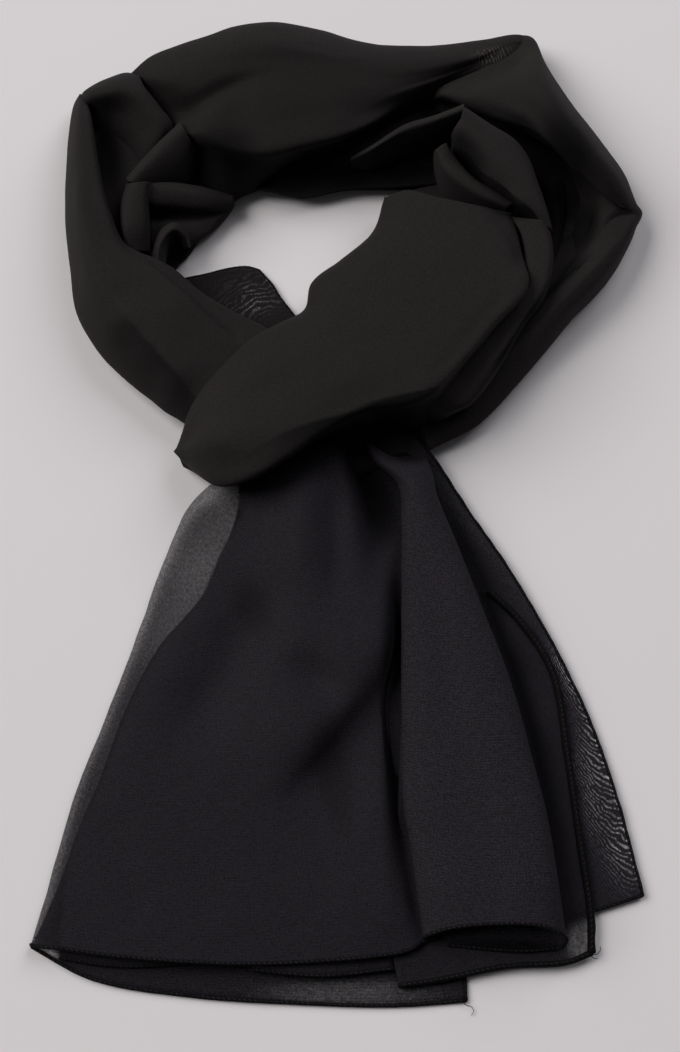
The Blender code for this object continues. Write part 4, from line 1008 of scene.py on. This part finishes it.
tailFront = {
    "finish": "sheer", "stands": ("tail_front",), "seed": 23.2, "spacing": 1.7, "uneven": 0.55,
    "thickness": 0.25,
    "marks": {
        "thin": (
            {"path": ((-53.5, -18.5), (-54, -33.5), (-61, -49), (-70.5, -72.5), (-87, -93.5), (-101, -123),
                      (-111.5, -157), (-123.5, -189.5), (-126.5, -229)),
             "edge": 1.2, "reach": 55,
             "strengths": (0.9, 1, 0.96, 1, 0.92, 0.86, 0.8, 0.66, 0.62, 0.66, 0.62, 0.58, 0.58, 0.62, 0.6,
                           0.6, 0.6)},
        ),
        # painted shade in the valley under the knot, in fold troughs and beside the pleat
        "deep": ((-46.5, -75.5, 8, 13, 24, 0.34), (-9.5, -154, 8, 24, 10, 0.34), (12, -22, 8, 21, 8, 0.95),
            (17.5, -129.5, 5.0, 66, 0, 0.9)),
    },
    "creases": (
        {"path": ((-37.5, -52.5), (-45.5, -79.5), (-58.5, -108), (-74, -134), (-87.5, -151)),
         "width": 13, "lift": -5.0, "fade": 2.5},
        {"path": ((-31.5, -96.5), (-14.5, -113), (1, -124.5)), "width": 9, "lift": -4.6, "fade": 2},
        {"path": ((23.5, -66), (14.5, -105.5), (-4, -132), (-24, -155), (-40.5, -173.5)),
         "kind": "step", "width": 16, "lift": -6.2, "fade": 3},
        {"path": ((-9, -5.5), (-8, -40), (-7, -84)), "width": 7, "lift": -3.0, "fade": 3},
        {"path": ((-23, -6.5), (-23.5, -36), (-23.5, -70.5)), "width": 6, "lift": 1.6, "fade": 3},
        {"path": ((-69.5, -20.5), (-61.5, -26), (-51.5, -33)), "width": 2.2, "lift": 1.6, "fade": 5},
        {"path": ((-76, -50), (-68.5, -48), (-59.5, -44)), "width": 3.0, "lift": -1.0, "fade": 3},
        {"path": ((-112, -165), (-102, -191.5), (-87.5, -221.5)), "width": 7, "lift": -0.7},
    ),
    "folds": {
        "foldFoot": ((-58.5, -7.5, 10), (-72, -16.5, 5), (-80, -27, 3), (-87.5, -47, 2.2), (-94, -67.5, 2),
            (-102.5, -96.5, 1.8), (-112, -125, 1.8), (-121.5, -152.5, 1.8), (-128.5, -179.5, 1.8),
            (-134, -205.5, 1.8), (-139, -227, 2.4)),
        "foldEdge": ((-56.5, -8, 12), (-70, -18, 8), (-78, -28, 6), (-85.5, -48, 5), (-92.5, -68.5, 4.6),
            (-100.5, -97.5, 4.4), (-110, -125.5, 4.4), (-119.5, -153, 4.4), (-126.5, -180, 4.4),
            (-132, -206, 4.4), (-137.5, -227.5, 4.6)),
        "sheerMiddle": ((-53.5, -7.5, 13), (-61.5, -24, 11), (-69.5, -40.5, 9.5), (-76, -60, 8.6),
            (-84.5, -81.5, 8), (-94.5, -106.5, 7.6), (-105, -133.5, 7.2), (-114, -158.5, 7),
            (-122.5, -182.5, 6.8), (-129, -207.5, 6.5), (-132, -228.5, 6.2)),
        "sheerEdge": ((-48.5, -7, 14), (-52.5, -30, 12.5), (-60, -48.5, 11.5), (-69, -72, 10.5),
            (-78.5, -90, 10), (-88.5, -116.5, 9.4), (-99, -141.5, 8.8), (-108.5, -165, 8.2),
            (-117, -188, 7.6), (-122.5, -210.5, 7), (-126, -229, 6.4)),
        "leftFace": ((-38.5, -5.5, 15), (-42.5, -31, 15), (-48, -50.5, 13.5), (-54, -74.5, 12),
            (-60, -94.5, 11), (-67, -122.5, 10), (-75, -147.5, 9.4), (-83, -171, 9), (-93, -192.5, 8.2),
            (-100, -214, 7.4), (-103.5, -232, 6.4)),
        "ridge": ((-26, 1, 17), (-25.5, -26.5, 19.5), (-24, -49, 19), (-24, -75.5, 17.5), (-25, -98.5, 15.5),
            (-28.5, -126, 13), (-36.5, -150.5, 11.2), (-45.5, -173.5, 9.8), (-54, -195, 8.6),
            (-60, -216.5, 7.4), (-63.5, -235, 6.4)),
        "dip": ((-9, 5, 16.5), (-3.5, -19, 17.5), (0, -41, 17), (-0.5, -70, 16), (-1.5, -98.5, 15),
            (-1.5, -123.5, 13), (-10.5, -149, 11), (-16, -172.5, 10), (-20, -194.5, 9), (-23.5, -215, 8),
            (-27.5, -235, 6.4)),
        "valley": ((-1.5, 12.5, 6), (4.5, -10.5, 3.2), (10.5, -38.5, 5), (15, -66, 12.5), (15, -93.5, 14),
            (15, -121, 12.5), (15, -147.5, 11.5), (15, -171.5, 11.2), (17, -193, 10.6), (20.5, -214, 9.6),
            (23, -230, 7.4)),
        "pleatSide": ((7.5, 14.5, 6), (15, -6.5, 3.6), (19.5, -30.5, 4), (20.5, -62, 8), (20, -90.5, 5.5),
            (19.5, -118.5, 4.6), (19.5, -145.5, 4.6), (20, -169, 4.8), (22, -192, 5.1), (25.5, -212, 5.4),
            (29.5, -226, 6)),
        "pleatFoot": ((16, 15.5, 6), (22.5, -4.5, 3.4), (27, -29.5, 3.6), (27.5, -61.5, 6), (26, -90.5, 5),
            (25.5, -118.5, 4.6), (25.5, -145.5, 4.6), (26, -169, 4.8), (28, -192, 5.1), (32, -212, 5.4),
            (36, -224.5, 6)),
    },
}
tailPleat = {
    "finish": "tail", "stands": ("tail_pleat",), "seed": 24.8, "spacing": 1.7, "uneven": 0.4,
    "thickness": 0.3,
    "marks": {
        # painted shade inside the pleat's mouth and under the knot
        "deep": ((62.5, -228, 31, 3.4, -1, 0.9), (26.5, 0.5, 9.5, 7, 0, 0.95)),
    },
    "creases": (
        {"path": ((31, -26), (39, -84.5), (43, -149.5)), "width": 7, "lift": -0.8},
    ),
    "folds": {
        "leftFoot": ((7.5, 12, 5), (13, -2, 7), (24, -14, 8), (25.5, -32.5, 7.5), (25, -62, 6.5),
            (24.5, -96, 6), (24.5, -128.5, 5), (24.5, -164, 5), (26.5, -183, 5), (29.5, -202.5, 5),
            (32.5, -225, 5)),
        "leftSide": ((4.5, 10, 9.5), (10, -3.5, 12.5), (21, -16, 13.5), (22.5, -34, 13), (22, -63.5, 12),
            (21.5, -97, 11.5), (21.5, -129.5, 10.5), (21.5, -165, 10.5), (24, -183.5, 10.5),
            (26.5, -203, 10.5), (29.5, -225, 9)),
        "leftShoulder": ((8, 6, 12.8), (13.5, -6.5, 17), (23, -18.5, 18.3), (24.5, -36.5, 17.8),
            (25.5, -65.5, 17.1), (27, -99, 16.3), (28, -131, 15.6), (30, -166.5, 15.6), (32.5, -184.5, 15.6),
            (35, -204, 15.6), (39.5, -222, 14.5)),
        "crest": ((18.5, -2, 14), (24, -10.5, 19.5), (28, -21.5, 21.5), (31.5, -38.5, 21.5), (36.5, -67, 21),
            (43, -100, 20), (48.5, -132, 19.5), (55.5, -168, 19.5), (58.5, -186, 19.5), (61.5, -205.5, 19.5),
            (60, -220.5, 18.5)),
        "rightFace": ((26, -2, 13.55), (29.5, -11.5, 19.05), (33, -23.5, 21.025), (37.5, -39.5, 21.575),
            (44.5, -68, 22.025), (53, -101, 21.975), (59.5, -132.5, 21.6), (67, -168.5, 21.6),
            (70, -186.5, 21.6), (72.5, -206, 21.275), (76, -221, 19.8)),
        "rightShoulder": ((33, -2, 12.2), (35.5, -11.5, 16.1), (38, -24, 18.05), (43, -40, 19.25),
            (52, -68.5, 20.65), (62.5, -101, 21.15), (70.5, -132, 21), (78.5, -168, 21), (81, -186.5, 21),
            (83.5, -206, 20.25), (86, -223.5, 17.2)),
        "rightSide": ((35, -1, 9.8), (37.5, -10.5, 12.5), (39.5, -23, 14.3), (45, -39, 15.8),
            (54.5, -67.5, 17.3), (65.5, -100, 17.9), (74, -131, 17.9), (82, -167.5, 17.9), (84.5, -186, 17.9),
            (87, -205, 16.6), (90.5, -226, 11)),
        "rightTurn": ((34.5, 1.5, 6), (36.5, -7.5, 7), (39, -20, 8), (44.5, -35.5, 8.5), (54.5, -64, 9),
            (65.5, -97, 9), (74, -128, 9), (82, -165, 9), (85, -183.5, 9), (87.5, -203.5, 8.5),
            (89, -228.5, 6.4)),
        "rightFoot": ((30, 1.5, 5.2), (32.5, -6.5, 5.2), (35, -18.5, 5.2), (40.5, -34, 5.2),
            (50.5, -62.5, 5.2), (61.5, -95.5, 5.2), (70.5, -127, 5.2), (78.5, -164, 5.2), (81.5, -183, 5.2),
            (84, -203, 5.2), (85, -229, 5.4)),
        "underRight": atHeight(5.2, ((23, 5), (26.5, -5), (33, -17), (36.5, -33.5), (42.5, -63),
            (48.5, -96.5), (54, -128), (59, -164.5), (61.5, -183.5), (64, -203), (71.5, -230))),
        "underLeft": atHeight(5.2, ((9, 10), (14, -2), (24.5, -14), (26, -32), (27.5, -62), (28.5, -96),
            (30, -128.5), (31, -164.5), (33.5, -183), (36, -202.5), (40, -227.5))),
    },
}

cloths = {
    "bedCloth": bed, "leftArmCloth": leftArm, "shoulderCloth": shoulder, "backBandCloth": backBand,
    "innerBandCloth": innerBand, "endPanelCloth": endPanel, "cuffCloth": cuff, "flapFoldCloth": flapFold,
    "loopFoldCloth": loopFold, "rightBandCloth": rightBand, "stripCloth": strip, "overBandCloth": overBand,
    "apexPanelCloth": apexPanel, "apexWingCloth": apexWing, "slotFoldCloth": slotFold,
    "hollowOuterCloth": hollowOuter, "hollowInnerCloth": hollowInner, "neckFlapCloth": neckFlap,
    "tailUnderCloth": tailUnder, "tailBackCloth": tailBack, "tailMidCloth": tailMid,
    "tailPleatUnderCloth": tailPleatUnder, "tailFrontCloth": tailFront, "tailPleatCloth": tailPleat,
}

makeFloor(**studio["floor"])
makeLights(studio["sky"], studio["lights"])
print("studio ready")
made = {name: makeCloth(name, cloth) for name, cloth in cloths.items()}
print("cloth ready")


# hems, stitches and thread ends, in millimetres

hems = {  # the radius of each rolled hem
    "tailUnderCloth": {"lastRow": 0.85, "lastColumn": 0.72},
    "tailBackCloth": {"lastRow": 0.72, "lastColumn": 0.72},
    "tailMidCloth": {"lastRow": 0.85},
    "tailPleatUnderCloth": {"lastRow": 1.4, "lastColumn": 1.8},
    "tailFrontCloth": {"lastRow": 0.85},
    "tailPleatCloth": {"lastRow": 0.72},
    "neckFlapCloth": {"firstRow": 0.5, "lastColumn": 0.5},
}
edges = {
    "firstRow": lambda grid: grid[0],
    "lastRow": lambda grid: grid[-1],
    "lastColumn": lambda grid: grid[:, -1],
}
rolled = {"drop": (0, 0, 0.15), "lowest": 0.62, "step": 1.6, "wobble": (0.16, 0.16, 0.1), "wobbleSize": 6,
          "wobbleRow": 3.0, "plumper": 0.14, "sides": 6, "bulge": 0.6}
stitch = {"every": 2.2, "seat": 0.96, "along": 0.45, "across": 0.32, "sunk": (0, 0, 0.12), "radius": 0.11,
          "sides": 4}
looseThreads = {
    "bottomThread": ((45.5, -250, 1), (47.5, -252, 1.4), (49.5, -252.5, 1.2), (50.5, -254.5, 0.5),
                     (49.5, -256, 0.4)),
    "cornerThread": ((102, -230.5, 1.6), (103.5, -231, 2), (105.5, -229.5, 1.6), (106, -227.5, 0.8)),
    "cornerThreadShort": ((101.5, -231.5, 1.4), (103, -232.5, 1.2), (104.5, -232.5, 0.6)),
}
loose = {"steps": 6, "radius": (0.2, 0.12), "sides": 5}


def tube(path, radius, sides):  # points and faces of a closed tube along a path, with rounded-off ends
    path = np.asarray(path, float)
    ahead = unit(np.gradient(path, axis=0))
    side = unit(np.cross(ahead, (0, 0, 1)))
    over = np.cross(side, ahead)
    radii = np.broadcast_to(radius, (len(path),))
    turn = np.arange(sides) * 2 * math.pi / sides
    ring = side[:, None] * np.cos(turn)[None, :, None] + over[:, None] * np.sin(turn)[None, :, None]
    skin = path[:, None] + ring * radii[:, None, None]
    points = [path[0] - ahead[0] * radii[0] * rolled["bulge"], *skin.reshape(-1, 3),
              path[-1] + ahead[-1] * radii[-1] * rolled["bulge"]]
    final, end = 1 + (len(path) - 1) * sides, len(points) - 1
    faces = []
    for i in range(1, final, sides):
        for j in range(sides):
            k = (j + 1) % sides
            faces.append((i + j, i + k, i + sides + k, i + sides + j))
    for j in range(sides):
        k = (j + 1) % sides
        faces.append((0, 1 + k, 1 + j))
        faces.append((end, final + j, final + k))
    return points, faces


def joined(name, bodies, finish):  # several tubes as one piece
    points, faces = [], []
    for bodyPoints, bodyFaces in bodies:
        start = len(points)
        points.extend(bodyPoints)
        faces.extend(tuple(start + k for k in face) for face in bodyFaces)
    points = np.array(points)
    piece = addPiece(name, points, faces, points[:, :2], finish, {})
    settle(piece)
    return piece


def rolledHem(name, edge, radius):  # a narrow rolled hem, and the slanted stitches that hold it
    edge = evenly(edge, max(12, int(lengths(edge).sum() / rolled["step"])))
    size, row = rolled["wobbleSize"], rolled["wobbleRow"]
    wobble = np.array([noise.noise((x / size, y / size, row)) for x, y, z in edge])
    path, radii = edge + wobble[:, None] * rolled["wobble"], radius * (1 + rolled["plumper"] * wobble)
    hem = joined(name + "Hem", [tube(path, radii, rolled["sides"])], "hem")
    seats = evenly(edge, max(3, int(lengths(edge).sum() / stitch["every"])))
    ahead = unit(np.gradient(seats, axis=0))
    side = np.cross(ahead, (0, 0, 1))
    threads = []
    for p, a, s in zip(seats[1:-1], ahead[1:-1], side[1:-1]):
        top = p + np.array((0, 0, radius * stitch["seat"]))
        start = top - a * stitch["along"] - s * stitch["across"] - stitch["sunk"]
        end = top + a * stitch["along"] + s * stitch["across"] - stitch["sunk"]
        threads.append(tube([start, top, end], stitch["radius"], stitch["sides"]))
    return [hem, joined(name + "Stitches", threads, "thread")]


trims = {name: [] for name in cloths}
for name, sides in hems.items():
    for side, radius in sides.items():
        edge = edges[side](made[name][1]) - rolled["drop"]
        edge[:, 2] = np.maximum(edge[:, 2], rolled["lowest"])
        trims[name] += rolledHem(name.replace("Cloth", "") + side[0].upper() + side[1:], edge, radius)
for name, path in looseThreads.items():
    rail = curve(path, loose["steps"])
    joined(name, [tube(rail, np.linspace(*loose["radius"], len(rail)), loose["sides"])], "hem")
print("hems ready")
